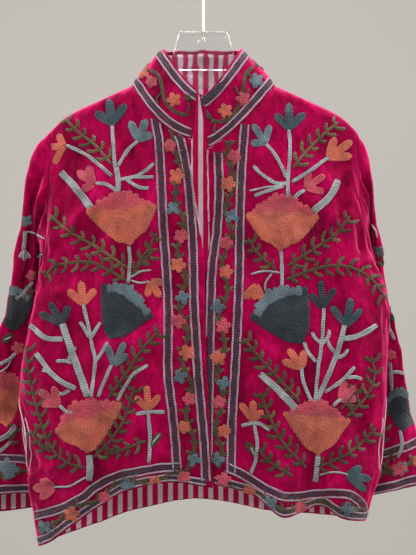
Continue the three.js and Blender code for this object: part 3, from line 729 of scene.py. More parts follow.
def wool_material(name):
    """Chain stitch: links slanted to a groove at a row's middle. U is along it in metres, V across it."""
    colour = WOOL[name]
    made = Surface("wool_" + name, colour, 0.9, Sheen_Weight=0.3, Sheen_Roughness=0.5, Specular_IOR_Level=0.2)
    flat = made.nodes.new("ShaderNodeUVMap")
    flat.uv_map = "flat"
    along, across, _ = made.split(flat.outputs["UV"])
    side = made.maths("ABSOLUTE", made.maths("SUBTRACT", across, 0.0005))
    slanted = made.maths("ADD", along, made.maths("MULTIPLY", side, 2.6))
    wave = made.maths("SINE", made.maths("MULTIPLY", slanted, 2 * math.pi / LINK))
    groove = made.maths("MINIMUM", made.maths("MULTIPLY", side, 9000), 1.0)
    height = made.maths("MULTIPLY", made.maths("MULTIPLY_ADD", wave, 0.5, 0.5), groove)
    place = made.place()
    fuzz = made.maths("MULTIPLY", made.noise(place, 1600, 2), 0.35)
    dark = tuple(0.68 * c for c in colour)
    light = tuple(min(1.3 * c, 1) for c in colour)
    base = made.ramp(made.noise(place, 45), (0.3, dark), (0.5, colour), (0.72, light))
    # Painted shade and highlight: the colour darkens in the groove and between the links and lightens on
    # their tops
    painted_link_shading = made.ramp(height, (0.0, 0.6), (0.65, 1.12))
    made.show("Base Color", made.blend("MULTIPLY", base, painted_link_shading))
    made.bump(made.maths("ADD", height, fuzz), 0.0009, 0.9)
    return made.material


velvet = velvet_material()
cotton = cotton_material()
wools = [wool_material(name) for name in WOOLS]

# The cloth
grids = {
    "front_right": front_grid("right"),
    "front_left": front_grid("left"),
    "back": back_grid(),
    "sleeve_right": sleeve_grid("right"),
    "sleeve_left": sleeve_grid("left"),
    "collar": collar_grid(),
}
SHORT = 0.9975  # how far down a body lining reaches
CUFF_PART = 0.758  # where a sleeve lining starts
linings = {
    "front_lining_right": front_grid("right", 70, 100, SHORT),
    "front_lining_left": front_grid("left", 70, 100, SHORT),
    "back_lining": back_grid(60, 100, SHORT),
    "sleeve_lining_right": sleeve_grid("right", 80, 30, CUFF_PART),
    "sleeve_lining_left": sleeve_grid("left", 80, 30, CUFF_PART),
    "collar_lining": collar_grid(140, 14),
}


def trim(grid, top, bottom, first, last):
    """Take some rows and columns off a grid's ends."""
    rows, columns = grid.points.shape[:2]
    for key in ("points", "normals", "flat"):
        setattr(grid, key, getattr(grid, key)[top:rows - bottom, first:columns - last])


for side in ("right", "left"):
    trim(linings["front_lining_" + side], 0, 0, 1, 0)
    trim(linings["sleeve_lining_" + side], 0, 1, 1, 1)
trim(linings["collar_lining"], 1, 0, 1, 1)

pieces = {}
for name, grid in grids.items():
    pieces[name] = cloth(name + "_velvet", grid, 0.0, -VELVET, velvet)
for name, grid in linings.items():
    inner = LINING - (SLACK if "sleeve" in name else 0)
    pieces[name] = cloth(name + "_cotton", grid, inner, inner + COTTON, cotton)


# Embroidery: rows of chain stitch laid on the cloth
def tree_of(grid):
    rows, columns = grid.points.shape[:2]
    ids = np.arange(rows * columns).reshape(rows, columns)
    quads = np.stack([ids[:-1, :-1], ids[:-1, 1:], ids[1:, 1:], ids[1:, :-1]], -1).reshape(-1, 4)
    tree = BVHTree.FromPolygons(grid.points.reshape(-1, 3).tolist(), quads.tolist())
    normals = grid.normals.reshape(-1, 3)[quads].mean(1)
    return tree, normals / np.linalg.norm(normals, axis=-1, keepdims=True)


def photo_place(x, y):
    """x and z at y = 0 of a photo pixel."""
    return EYE[0] + (x - CENTRE[0]) * SCALE, EYE[2] - (y - CENTRE[1]) * SCALE


def through_camera(x, y):
    x, z = photo_place(x, y)
    return EYE, np.array([x, 0, z]) - EYE


def from_behind(x, y):
    x, z = photo_place(x, y)
    return np.array([x, 400.0, z]), np.array([0, -1.0, 0])


def smooth_path(points, step):
    """Points at an even step along a smooth curve through the given ones."""
    p = np.asarray(points, float)
    if len(p) > 2:
        ends = np.concatenate([[2 * p[0] - p[1]], p, [2 * p[-1] - p[-2]]])
        t = np.linspace(0, 1, 9)[:-1, None]
        parts = []
        for a, b, c, d in zip(ends[:-3], ends[1:-2], ends[2:-1], ends[3:]):
            bend = (2 * a - 5 * b + 4 * c - d) * t**2 + (3 * b - a - 3 * c + d) * t**3
            parts.append(0.5 * (2 * b + (c - a) * t + bend))
        p = np.concatenate(parts + [p[-1:]])
    length = np.concatenate([[0], np.cumsum(np.linalg.norm(np.diff(p, axis=0), axis=1))])
    count = max(int(round(length[-1] / step)) + 1, 3)
    at = np.linspace(0, length[-1], count)
    return np.stack([np.interp(at, length, p[:, 0]), np.interp(at, length, p[:, 1])], -1)


def offset_from(path):
    """Unit vectors across a path and along it."""
    along = np.gradient(path, axis=0)
    along /= np.maximum(np.linalg.norm(along, axis=1, keepdims=True), 1e-9)
    return np.stack([-along[:, 1], along[:, 0]], -1), along


# A row's section: across in widths, up in heights
PROFILE = np.array([(-0.5, 0.05), (-0.27, 0.85), (0.27, 0.85), (0.5, 0.05)])
STEP = 1.7  # between the points of a row
FILL = 2.2  # between the rows that fill a petal
FAN_FILL = 2.15
LEAF_EVERY = 14.5  # along a sprig
WOBBLE = 0.22
JUMP = 12  # a row that leaps further from one point to the next is cut in two


def cast_on(grid, ray, cover=None):
    """Places on a panel where rays meet it, unless a panel over it is in their way."""
    tree, normals = tree_of(grid)
    over = tree_of(cover)[0] if cover else None

    def spot(x, y):
        origin, direction = (Vector(part) for part in ray(x, y))
        hit, _, index, _ = tree.ray_cast(origin, direction.normalized())
        if hit is None or (over and over.ray_cast(origin, direction.normalized())[0]):
            return None
        return np.array(hit), normals[index]

    return spot


def laid_on(grid):
    """Places on a panel by millimetres across and down it."""
    across, down = grid.flat[0, :, 0], grid.flat[:, 0, 1]
    points, normals = grid.points, grid.normals

    def spot(x, y):
        if not (across[0] <= x <= across[-1] and down[0] <= y <= down[-1]):
            return None
        j = min(int(np.searchsorted(across, x, "right")) - 1, len(across) - 2)
        i = min(int(np.searchsorted(down, y, "right")) - 1, len(down) - 2)
        s = (x - across[j]) / (across[j + 1] - across[j])
        t = (y - down[i]) / (down[i + 1] - down[i])
        point, normal = (
            mix(mix(a[i, j], a[i, j + 1], s), mix(a[i + 1, j], a[i + 1, j + 1], s), t)
            for a in (points, normals)
        )
        return point, normal / np.linalg.norm(normal)

    return spot


class Embroidery:
    """Rows of stitch on one panel. spot gives a place on it, and unit is its unit in millimetres."""

    def __init__(self, name, spot, unit):
        self.name = name
        self.spot = spot
        self.unit = unit
        self.verts, self.faces, self.uvs, self.slots = [], [], [], []
        self.count = 0

    def row(self, points, colour, width=2.7, height=1.9, level=0.0):
        path = smooth_path(points, STEP / self.unit)
        phases = [self.count % 13, self.count % 7]
        path = path + WOBBLE / self.unit * np.sin(0.41 * np.arange(len(path))[:, None] + phases)
        spots, normals = [], []
        for x, y in path:
            found = self.spot(x, y)
            if found is None:
                self.lay(spots, normals, colour, width, height, level)
                spots, normals = [], []
                continue
            spots.append(found[0])
            normals.append(found[1])
        self.lay(spots, normals, colour, width, height, level)

    def lay(self, spots, normals, colour, width, height, level):
        if len(spots) < 3:
            return
        p, n = np.array(spots), np.array(normals)
        jump = np.linalg.norm(np.diff(p, axis=0), axis=1) > JUMP
        if jump.any():
            cut = int(np.argmax(jump)) + 1
            self.lay(spots[:cut], normals[:cut], colour, width, height, level)
            self.lay(spots[cut:], normals[cut:], colour, width, height, level)
            return
        along = np.gradient(p, axis=0)
        side = np.cross(n, along)
        side /= np.maximum(np.linalg.norm(side, axis=1, keepdims=True), 1e-9)
        count = len(p)
        end = np.minimum(np.arange(count), np.arange(count)[::-1])
        grow = np.clip(0.45 + 0.3 * end, 0, 1)[:, None]
        steps = np.linalg.norm(np.diff(p, axis=0), axis=1)
        s = np.concatenate([[0], np.cumsum(steps)]) + 1.37 * (self.count % 97)
        for across, up in PROFILE:
            self.verts.append(p + side * (across * width * grow) + n * (up * height * grow + level))
            self.uvs.append(np.stack([s, np.full(count, across + 0.5)], -1))
        base = self.count + np.arange(count - 1)
        for k in range(len(PROFILE) - 1):
            a, b = base + k * count, base + (k + 1) * count
            self.faces.append(np.stack([a, a + 1, b + 1, b], -1))
            self.slots.append(np.full(count - 1, WOOLS.index(colour)))
        self.count += count * len(PROFILE)

    def rows(self, points, colour, count, gap=2.2, taper=0.0, **more):
        """Parallel rows along a path. With a taper they draw together towards its end."""
        path = smooth_path(points, 4 / self.unit)
        out, _ = offset_from(path)
        share = np.linspace(0, 1, len(path))[:, None]
        for k in range(count):
            offset = (k - (count - 1) / 2) * gap / self.unit
            self.row(path + out * offset * (1 - taper * share), colour, **more)

    def lobe(self, base, tip, width, colour, root=0.55, level=0.0):
        """A petal or leaf with a round end, filled with rows from its base to its tip."""
        base, tip = np.asarray(base, float), np.asarray(tip, float)
        length = max(np.linalg.norm(tip - base), 1e-6)
        axis = (tip - base) / length
        out = np.array([-axis[1], axis[0]])
        count = max(int(round(width * self.unit / FILL)), 2)
        for k in range(count):
            off = (k - (count - 1) / 2) / count * width
            end = length - width / 2 + math.sqrt(max(width * width / 4 - off * off, 0))
            spots = [(0, root), (0.3, 0.9), (0.62, 1), (0.86, 0.95), (1, 0.62)]
            self.row([base + axis * end * s + out * off * w for s, w in spots], colour, level=level)

    def floret(self, x, y, size, colour, heart="moss", petals=4, turn=0.6, lift=0.0):
        for k in range(petals):
            a = turn + 2 * math.pi * k / petals
            long = size * (1 + 0.12 * math.sin(5 * a + x))
            tip = (x + long * math.cos(a), y + long * math.sin(a))
            self.lobe((x, y), tip, 0.7 * size, colour, 0.3, lift + 0.2 * (k % 2))
        if heart:
            self.row([(x - 0.16 * size, y), (x, y + 0.1 * size), (x + 0.16 * size, y)], heart, level=0.9)

    def tulip(self, base, left, middle, right, colour, width=7.5, edge=None):
        """A flower with three long petals on a cup."""
        base = np.asarray(base, float)
        for tip, shade, level in ((left, colour, 0.0), (right, colour, 0.15), (middle, edge or colour, 0.5)):
            self.lobe(base, tip, width, shade, 0.6, level)

    def fan(self, base, left, top, right, colours, scallops=11, band=0.3):
        """A fan-shaped flower: rows across it, then scallops and a band of another colour at its rim."""
        base = np.asarray(base, float)
        rim = smooth_path([left, top, right], 1.2)
        middle = rim[len(rim) // 2]
        high = np.linalg.norm(middle - base)
        axis = (middle - base) / high
        out = np.array([-axis[1], axis[0]])
        wide, rise = (rim - middle) @ out, (rim - middle) @ axis
        count = int(high * self.unit * 0.95 / FAN_FILL)
        for k in range(1, count + 1):
            t = 0.95 * k / count
            level = high * t + rise * (1.5 * t - 0.5)
            share = np.clip(level / (high + rise), 0.03, 1) ** 0.62
            level = level + 0.35 * np.sin(np.arange(len(rim)) * 0.5 + 1.7 * k)
            arc = base + level[:, None] * axis + (wide * share)[:, None] * out
            if t < 1 - band:
                self.row(arc[::2], colours[0])
                continue
            half = len(arc) / 2
            inner = 0.08 + 0.72 * ((t - 1 + band) / band) ** 0.6 + 0.09 * (k % 2)
            start, end = (int(np.clip(half + way * inner * half, 0, len(arc) - 1)) for way in (-1, 1))
            corner, middle_part, far = arc[:start + 2], arc[max(start - 1, 0):end + 2], arc[max(end - 1, 0):]
            for part, shade in ((corner, 0), (middle_part, 1), (far, 0)):
                if len(part) > 3:
                    kept = np.linspace(0, len(part) - 1, max(len(part) // 2, 3)).astype(int)
                    self.row(part[kept], colours[shade])
        length = len(rim) - 1
        width = np.linalg.norm(np.diff(rim, axis=0), axis=1).sum() / scallops
        for k in range(scallops):
            edge = rim[int(round((k + 0.5) / scallops * length))]
            long = 1.035 + 0.02 * math.sin(4 * k)
            root = mix(base, edge, 0.84 if band < 0.25 else 0.86)
            shade = colours[0] if k in (0, scallops - 1) else colours[1]
            self.lobe(root, base + (edge - base) * long, width * 0.96, shade, 0.9, 0.35)

    def sprig(self, points, size, colour, other=None):
        """A stem with paired leaves that point to its tip. The tip is the first point."""
        path = smooth_path(points, 1)
        self.row(points, colour, width=4.0, height=2.3)
        leaves = max(int(len(path) * self.unit / LEAF_EVERY), 2)
        for k in range(leaves):
            i = int((k + 0.4) / leaves * (len(path) - 2))
            d = path[i] - path[i + 1]
            d /= max(np.linalg.norm(d), 1e-9)
            for way in (-1, 1):
                out = np.array([-d[1], d[0]]) * way
                long = size * (1.16 + 0.24 * math.sin(7.3 * k + 2 * way))
                root = path[i] - d * (1.2 + 0.9 * way)
                shade = other if other and (2 * k + way) % 5 == 0 else colour
                bend = root + (0.5 * out + 0.2 * d) * long
                self.row([root, bend, root + (0.8 * out + 0.62 * d) * long], shade, width=5.0, height=2.1)

    def finish(self):
        made = (self.verts, self.faces, self.uvs, self.slots)
        verts, faces, uvs, slots = (np.concatenate(part) for part in made)
        return mesh_object(self.name, verts, faces.tolist(), uvs, wools, slots)


UNIT = SCALE * 0.965  # millimetres to a pixel on the front of the jacket
front_right = Embroidery("embroidery_front_right", cast_on(grids["front_right"], through_camera), UNIT)
front_left = Embroidery(
    "embroidery_front_left", cast_on(grids["front_left"], through_camera, grids["front_right"]), UNIT,
)

# Stems by their number of rows and their points in photo pixels, and sprigs by size, colour and points
STEMS_RIGHT = [
    (2, [(112, 125), (113, 140), (115, 168)]), (2, [(138, 141), (128, 150), (118, 166)]),
    (2, [(66, 145), (88, 156), (112, 176)]), (2, [(119, 180), (133, 177), (144, 172), (154, 163)]),
    (2, [(133, 177), (154, 177)]), (2, [(126, 179), (138, 187), (149, 188)]),
    (3, [(116, 167), (118, 178), (118, 193)]), (2, [(95, 183), (108, 185), (119, 193)]),
    (2, [(129, 246), (130, 262), (128, 283)]), (1, [(129, 278), (140, 272), (151, 270)]),
    (1, [(130, 280), (140, 283), (150, 281)]),
    (2, [(83, 304), (87, 320), (92, 345), (95, 362), (91, 398)]), (2, [(90, 338), (84, 328), (80, 322)]),
    (2, [(91, 338), (97, 328), (100, 322)]), (2, [(95, 362), (102, 352), (108, 342)]),
    (3, [(30, 325), (46, 338), (63, 339)]), (2, [(76, 347), (70, 356), (68, 362)]),
    (2, [(56, 361), (64, 361), (72, 363)]), (3, [(36, 353), (50, 372), (62, 382), (76, 389)]),
    (2, [(42, 370), (50, 372)]), (2, [(70, 390), (62, 394), (58, 392)]),
    (2, [(112, 364), (104, 382), (98, 397)]), (2, [(148, 365), (132, 376), (117, 401)]),
    (2, [(59, 405), (66, 411), (75, 413)]), (4, [(89, 455), (90, 468), (89, 481)]),
    (1, [(86, 477), (70, 486), (54, 487)]), (2, [(148, 412), (150, 436), (149, 463)]),
    (2, [(136, 414), (150, 412), (165, 412)]),
]
THICK_RIGHT = [
    [(61, 172), (74, 186), (91, 208)],
    [(62, 323), (72, 352), (88, 397)],
]
SPRIGS_RIGHT = [
    (9, "moss", [(64, 117), (78, 132), (96, 146), (111, 164)]),
    (9, "moss", [(50, 215), (70, 232), (98, 248), (127, 268)]),
    (9, "olive", [(45, 278), (56, 266), (88, 262), (108, 270), (127, 281)]),
    (8, "olive", [(157, 233), (148, 250), (136, 266)]),
    (8, "olive", [(153, 252), (142, 262), (131, 276)]),
    (9, "olive", [(26, 345), (28, 370), (34, 395), (42, 425), (52, 448), (66, 462), (85, 468)]),
    (9, "olive", [(160, 330), (142, 350), (126, 374), (108, 398)]),
    (9, "olive", [(134, 386), (130, 404), (122, 424), (106, 446), (92, 458)]),
    (8, "olive", [(104, 454), (118, 452), (132, 446), (146, 441)]),
    (8, "olive", [(30, 430), (40, 444), (52, 452)]),
]
STEMS_LEFT = [
    (2, [(289, 129), (290, 150), (288, 181), (288, 200)]), (2, [(266, 144), (276, 156), (287, 178)]),
    (2, [(288, 183), (276, 183), (264, 176), (253, 166)]),
    (1, [(288, 184), (276, 186), (262, 188), (249, 191)]), (2, [(284, 186), (270, 190), (254, 196)]),
    (2, [(292, 182), (308, 172), (329, 157)]), (2, [(305, 190), (298, 194), (293, 200)]),
    (2, [(281, 250), (282, 268), (282, 286)]), (1, [(280, 273), (266, 271), (251, 274)]),
    (1, [(272, 273), (266, 282), (265, 290)]), (2, [(324, 307), (322, 340), (318, 370), (315, 403)]),
    (2, [(322, 344), (315, 338), (312, 332)]), (2, [(321, 346), (328, 337), (329, 330)]),
    (3, [(345, 324), (338, 350), (328, 376), (317, 400)]), (3, [(342, 339), (358, 336), (377, 325)]),
    (2, [(337, 354), (330, 347), (328, 340)]), (2, [(336, 358), (344, 355), (348, 349)]),
    (2, [(325, 392), (340, 382), (355, 367)]), (2, [(345, 378), (356, 377), (362, 380)]),
    (2, [(345, 396), (338, 401), (333, 406)]), (2, [(301, 366), (304, 384), (312, 402)]),
    (2, [(304, 342), (308, 352), (316, 362)]), (3, [(318, 455), (317, 468), (315, 482)]),
    (1, [(319, 475), (334, 472), (350, 475)]), (2, [(254, 424), (257, 440), (256, 458), (251, 474)]),
    (2, [(241, 426), (256, 423), (270, 430)]),
]
THICK_LEFT = [
    [(338, 180), (330, 196), (313, 212)],
    [(260, 374), (276, 388), (297, 410)],
]
SPRIGS_LEFT = [
    (9, "moss", [(338, 122), (322, 136), (306, 152), (293, 168)]),
    (9, "olive", [(350, 216), (334, 236), (312, 250), (288, 266)]),
    (9, "olive", [(386, 300), (372, 280), (352, 268), (330, 266), (306, 272), (286, 280)]),
    (8, "olive", [(248, 238), (258, 254), (276, 270)]),
    (9, "olive", [(243, 338), (256, 354), (276, 376), (300, 402)]),
    (9, "olive", [(260, 392), (270, 418), (284, 444), (306, 468)]),
    (9, "olive", [(371, 356), (374, 376), (366, 396), (346, 418)]),
    (9, "olive", [(376, 428), (358, 446), (340, 458), (314, 468)]),
    (8, "olive", [(258, 448), (270, 462), (292, 476)]),
    (8, "olive", [(356, 384), (350, 398), (340, 410)]),
]


def plant(work, stems, thick=(), sprigs=(), colour="pale"):
    for size, shade, points in sprigs:
        work.sprig(points, size, shade, "moss" if shade == "olive" else "olive")
    for count, points in stems:
        work.rows(points, colour, count, 2.1, height=2.3)
    for points in thick:
        work.rows(points, colour, 4, 2.1, taper=-0.15, height=2.4)


def flowers_right(work):
    work.tulip((112, 124), (95, 112), (109, 99), (126, 104), "teal", 8)
    work.tulip((138, 140), (130, 121), (147, 119), (153, 134), "steel", 8)
    work.tulip((64, 146), (58, 134), (45, 148), (54, 164), "orange", 7)
    work.tulip((94, 184), (77, 171), (88, 166), (82, 190), "pink", 8)
    work.fan((131, 246), (85, 212), (121, 191), (157, 207), ("orange", "coral"), 12)
    work.tulip((151, 281), (147, 297), (160, 298), (164, 283), "orange", 7)
    work.fan((110, 340), (101, 285), (131, 287), (153, 317), ("slate", "steel"), 12, 0.2)
    work.tulip((83, 304), (68, 290), (81, 281), (96, 289), "orange", 7.5)
    work.tulip((62, 324), (39, 313), (50, 302), (69, 305), "slate", 7)
    work.tulip((114, 365), (107, 345), (125, 342), (128, 354), "steel", 6.5)
    work.tulip((59, 405), (38, 390), (53, 386), (40, 403), "pink", 7.5)
    work.fan((87, 454), (55, 432), (76, 402), (124, 403), ("orange", "coral"), 13, 0.34)
    work.tulip((54, 487), (40, 480), (33, 488), (40, 499), "pink", 9)
    work.tulip((148, 410), (135, 396), (147, 385), (160, 395), "orange", 6.5)
    work.lobe((151, 446), (161, 433), 6, "olive")
    work.row([(152, 444), (160, 434)], "pale", level=1.2)


def flowers_left(work):
    work.tulip((289, 129), (275, 114), (289, 103), (305, 113), "teal", 7.5)
    work.tulip((265, 143), (250, 143), (252, 124), (270, 125), "steel", 7)
    work.tulip((328, 158), (335, 137), (352, 141), (352, 156), "orange", 8)
    work.tulip((306, 188), (309, 171), (325, 175), (324, 192), "pink", 7)
    work.fan((280, 252), (245, 216), (282, 194), (320, 217), ("orange", "coral"), 13)
    work.tulip((256, 285), (244, 299), (254, 300), (262, 300), "orange", 7.5)
    work.fan((303, 344), (250, 319), (270, 290), (308, 288), ("slate", "steel"), 12, 0.2)
    work.tulip((322, 308), (310, 294), (321, 280), (335, 288), "slate", 6.5)
    work.tulip((346, 326), (331, 306), (351, 298), (362, 309), "teal", 7)
    work.tulip((340, 400), (345, 380), (356, 386), (358, 398), "pink", 7.5)
    work.tulip((302, 368), (282, 361), (288, 349), (304, 350), "orange", 7.5)
    work.fan((319, 456), (283, 414), (318, 400), (350, 422), ("orange", "coral"), 14, 0.28)
    work.tulip((347, 475), (362, 467), (371, 479), (366, 491), "teal", 7.5)
    work.tulip((253, 421), (240, 403), (253, 400), (263, 410), "orange", 7)
    work.lobe((258, 458), (246, 442), 6, "olive")
    work.row([(255, 455), (251, 447)], "pale", level=1.2)


plant(front_right, STEMS_RIGHT, THICK_RIGHT, SPRIGS_RIGHT)
flowers_right(front_right)
plant(front_left, STEMS_LEFT, THICK_LEFT, SPRIGS_LEFT)
flowers_left(front_left)


def braid(work, points, gap=10.2):
    """Two pale rows with a dark waving one between them."""
    path = smooth_path(points, 4 / work.unit)
    out, _ = offset_from(path)
    for way in (-0.5, 0.5):
        work.row(path + out * way * gap / work.unit, "mauve", width=2.5, height=1.9)
    fine = smooth_path(points, 1.75 / work.unit)
    out, _ = offset_from(fine)
    swing = np.sin(np.arange(len(fine)) * 0.95)[:, None]
    work.row(fine + out * (1.1 * swing - 1.3) / work.unit, "dusk", width=3.0, height=1.1)
    work.row(fine + out * (1.1 * swing + 1.3) / work.unit, "dusk", width=2.6, height=0.9)


WIDE = {name: (grid.flat[0, -1, 0], grid.flat[-1, 0, 1]) for name, grid in grids.items()}


HEM = {"above": 7.5, "gap": 8}


def hem_braid(work, name, first, last):
    """A braid along a panel's lower edge, from one share of its width to another."""
    wide, deep = WIDE[name]
    spot, unit = work.spot, work.unit
    work.spot, work.unit = laid_on(grids[name]), 1.0
    braid(work, [(wide * t, deep - HEM["above"]) for t in np.linspace(first, last, 12)], HEM["gap"])
    work.spot, work.unit = spot, unit


braid(front_right, [
    (155, 118), (159, 142), (161, 178), (163, 222), (166, 266), (168, 305), (168, 340), (168, 375),
    (172, 410), (175, 440), (177, 470),
])
braid(front_right, [
    (180, 467), (160, 468), (143, 471), (118, 476), (97, 486), (83, 497), (60, 509), (30, 517),
])
braid(front_right, [
    (178, 134), (182, 146), (188, 180), (191, 215), (193, 250), (194, 305), (196, 340), (198, 375),
    (201, 410), (204, 445), (206, 482),
])
hem_braid(front_right, "front_right", 0.03, 0.985)
braid(front_left, [(245, 124), (242, 160), (240, 210), (239, 280), (236, 350), (232, 420), (231, 474)])
braid(front_left, [
    (227, 467), (245, 476), (268, 490), (288, 497), (318, 494), (345, 494), (358, 500), (363, 508),
    (360, 514),
])
braid(front_left, [
    (218, 152), (219, 190), (217, 230), (212, 270), (210, 330), (209, 390), (208, 440), (207, 480),
])
hem_braid(front_left, "front_left", 0.06, 0.985)


BLOOMS = ("pink", "orange", "blue")
VINE = {"wave": 74, "swing": 5, "step": 2, "leaf": 7}  # millimetres, and a leaf every 7 steps


def border(work, points, blooms, colours=BLOOMS, size=10.5):
    """The narrow border: a waving vine with leaves, and a small flower here and there."""
    unit = work.unit
    path = smooth_path(points, VINE["step"] / unit)
    out, along = offset_from(path)
    turn = np.arange(len(path)) * VINE["step"] * 2 * math.pi / VINE["wave"]
    vine = path + out * np.sin(turn)[:, None] * VINE["swing"] / unit
    work.rows(vine[::3], "olive", 2, 2.4, height=2.1)
    for k in range(4, len(vine) - 4, VINE["leaf"]):
        way = 1 if (k // VINE["leaf"]) % 2 else -1
        for reach in (9 * way, -6 * way):
            tip = vine[k] + (out[k] * reach - along[k] * 6) / unit
            bend = mix(vine[k], tip, 0.6) - along[k] / unit
            work.row([vine[k], bend, tip], "olive" if k % 3 else "moss", width=4.6)
    for k, (x, y) in enumerate(blooms):
        colour = colours[k % len(colours)]
        work.floret(x, y, size / unit, colour, None, 4 if colour == "blue" else 5, 0.05 * x, 0.9)


border(front_right, [(175, 128), (178, 180), (181, 250), (184, 330), (189, 400), (192, 470)], [
    (170, 146), (177, 176), (173, 208), (181, 236), (178, 265), (183, 297), (178, 321), (187, 353),
    (180, 377), (189, 399), (184, 427), (194, 459),
])
border(front_right, [(190, 474), (160, 478), (128, 483), (104, 492), (76, 510), (36, 528)], [
    (184, 477), (155, 482), (127, 485), (104, 497), (72, 514), (46, 527),
])
border(front_left, [(231, 140), (230, 200), (226, 260), (222, 330), (220, 400), (218, 470)], [
    (234, 156), (228, 184), (231, 216), (226, 243), (226, 272), (218, 307), (223, 326), (218, 358),
    (224, 383), (219, 402), (224, 431), (217, 460),
])
border(front_left, [(222, 480), (248, 491), (272, 503), (300, 507), (330, 503), (350, 509), (368, 514)], [
    (223, 480), (249, 492), (271, 503), (300, 507), (347, 509),
], ("pink", "orange", "blue", "coral", "blue"))


BAND = {"outer": 8, "middle": 31, "inner": 54}  # above a panel's lower end


def wide_band(work, name, points, blooms, sway):
    """Two braids across a panel's lower end with a border between them."""
    work.spot, work.unit = laid_on(grids[name]), 1.0
    wide, deep = WIDE[name]
    across = [wide * t for t in np.linspace(0.01, 0.99, points)]
    for key in ("outer", "inner"):
        braid(work, [(x, deep - BAND[key]) for x in across])
    middle = deep - BAND["middle"]
    border(work, [(x, middle) for x in across], [(wide * t, middle + 4 * math.sin(sway * t)) for t in blooms])


works = {"front_right": front_right, "front_left": front_left}

# Back: the same garden, laid from behind, with a tall plant at its middle
back = Embroidery("embroidery_back", cast_on(grids["back"], from_behind), SCALE)
plant(back, STEMS_RIGHT, THICK_RIGHT, SPRIGS_RIGHT)
flowers_right(back)
plant(back, STEMS_LEFT, THICK_LEFT, SPRIGS_LEFT)
flowers_left(back)
plant(back, [
    (3, [(203, 480), (204, 420), (202, 360)]),
    (3, [(202, 300), (204, 240), (203, 190)]),
    (2, [(203, 450), (190, 436), (184, 424)]),
    (2, [(203, 440), (216, 426), (222, 414)]),
    (2, [(203, 270), (190, 258), (184, 246)]),
    (2, [(203, 262), (216, 250), (222, 238)]),
], sprigs=[
    (9, "olive", [(168, 436), (184, 462), (200, 476)]),
    (9, "olive", [(238, 436), (224, 462), (206, 476)]),
    (9, "olive", [(174, 272), (184, 300), (200, 320)]),
    (9, "olive", [(230, 272), (220, 300), (206, 320)]),
])
back.fan((203, 360), (177, 332), (203, 311), (229, 332), ("orange", "coral"))
back.fan((203, 190), (182, 164), (203, 149), (224, 164), ("slate", "steel"), 11, 0.2)
for x, y, colour in [(183, 420, "pink"), (223, 410, "pink"), (183, 242, "orange"), (223, 234, "orange")]:
    back.floret(x, y, 9, colour)
works["back"] = back

# Collar: a braid at its top and at its base, with a vine between them
collar = Embroidery("embroidery_collar", laid_on(grids["collar"]), 1.0)
wide, deep = WIDE["collar"]
ends = [wide * t for t in np.linspace(0.005, 0.995, 9)]
braid(collar, [(x, 9.5) for x in ends], 10)
braid(collar, [(x, deep - 8) for x in ends])
border(collar, [(wide * t, deep / 2) for t in np.linspace(0.26, 0.74, 7)], [
    (wide * t, deep / 2 + 4 * math.sin(19 * t)) for t in (0.29, 0.37, 0.45, 0.53, 0.61, 0.69)
], ("blue", "orange", "pink"), 8.5)
collar.spot, collar.unit = cast_on(grids["collar"], through_camera), UNIT
VINES = [
    (2, [(150, 70), (158, 75), (162, 86), (164, 98), (170, 108), (180, 114), (188, 115)]),
    (1, [(163, 92), (157, 98), (158, 105)]), (1, [(150, 70), (145, 74), (143, 78)]),
    (1, [(186, 115), (189, 108), (188, 102)]),
    (2, [(253, 67), (246, 74), (243, 86), (242, 98), (235, 112), (224, 121), (210, 121)]),
    (1, [(242, 96), (237, 92), (236, 86)]), (1, [(242, 98), (247, 94), (249, 88)]),
    (1, [(214, 122), (208, 114), (206, 110)]), (1, [(216, 122), (214, 130), (216, 134)]),
    (1, [(247, 73), (251, 78), (252, 84)]),
]
plant(collar, VINES, colour="olive")
# A painted shadow: four dark dusk rows along the top of the collar's tip, where its braid lies in shade
collar.rows([(198, 106), (209, 97), (223, 84)], "dusk", 4, 2.1, level=1.6)
for x, y, colour in (
    (152, 82, "pink"), (174, 100, "orange"), (143, 72, "orange"), (188, 98, "olive"),
    (256, 81, "blue"), (225, 111, "orange"), (243, 99, "pink"), (209, 116, "olive"),
):
    collar.floret(x, y, (9.5 if colour != "olive" else 5) / UNIT, colour, None, 5, 0.6, 0.7)
works["collar"] = collar

# Sleeves
sleeve_right = Embroidery("embroidery_sleeve_right", cast_on(grids["sleeve_right"], through_camera), UNIT)
sleeve_left = Embroidery("embroidery_sleeve_left", cast_on(grids["sleeve_left"], through_camera), UNIT)


def sleeve_plant(work, x, tilt):
    """Flowers down a sleeve about a line from the pixel x at its top, each with its stem and leaves."""
    def at(dx, y):
        return x + tilt * (y - 200) / 300 + dx, y

    for k, y in enumerate(range(190, 400, 90)):
        colours = (("slate", "steel"), ("orange", "coral"))[k % 2]
        work.fan(at(0, y + 52), at(-25, y + 22), at(0, y), at(25, y + 24), colours, 11, 0.25)
        work.rows([at(0, y + 52), at(2, y + 66), at(0, y + 84)], "pale", 2, 1.9)
        for far, near, root in ((-30, -20, -3), (31, 22, 3)):
            work.sprig([at(far, y + 40), at(near, y + 64), at(root, y + 80)], 9, "olive", "moss")
        work.floret(*at(-22, y + 2), 8, "pink", "orange")
        work.floret(*at(24, y + 4), 8, "blue", "slate")
        work.rows([at(-22, y + 8), at(-18, y + 16), at(-14, y + 22)], "pale", 1)
        work.rows([at(24, y + 10), at(20, y + 16), at(16, y + 24)], "pale", 1)


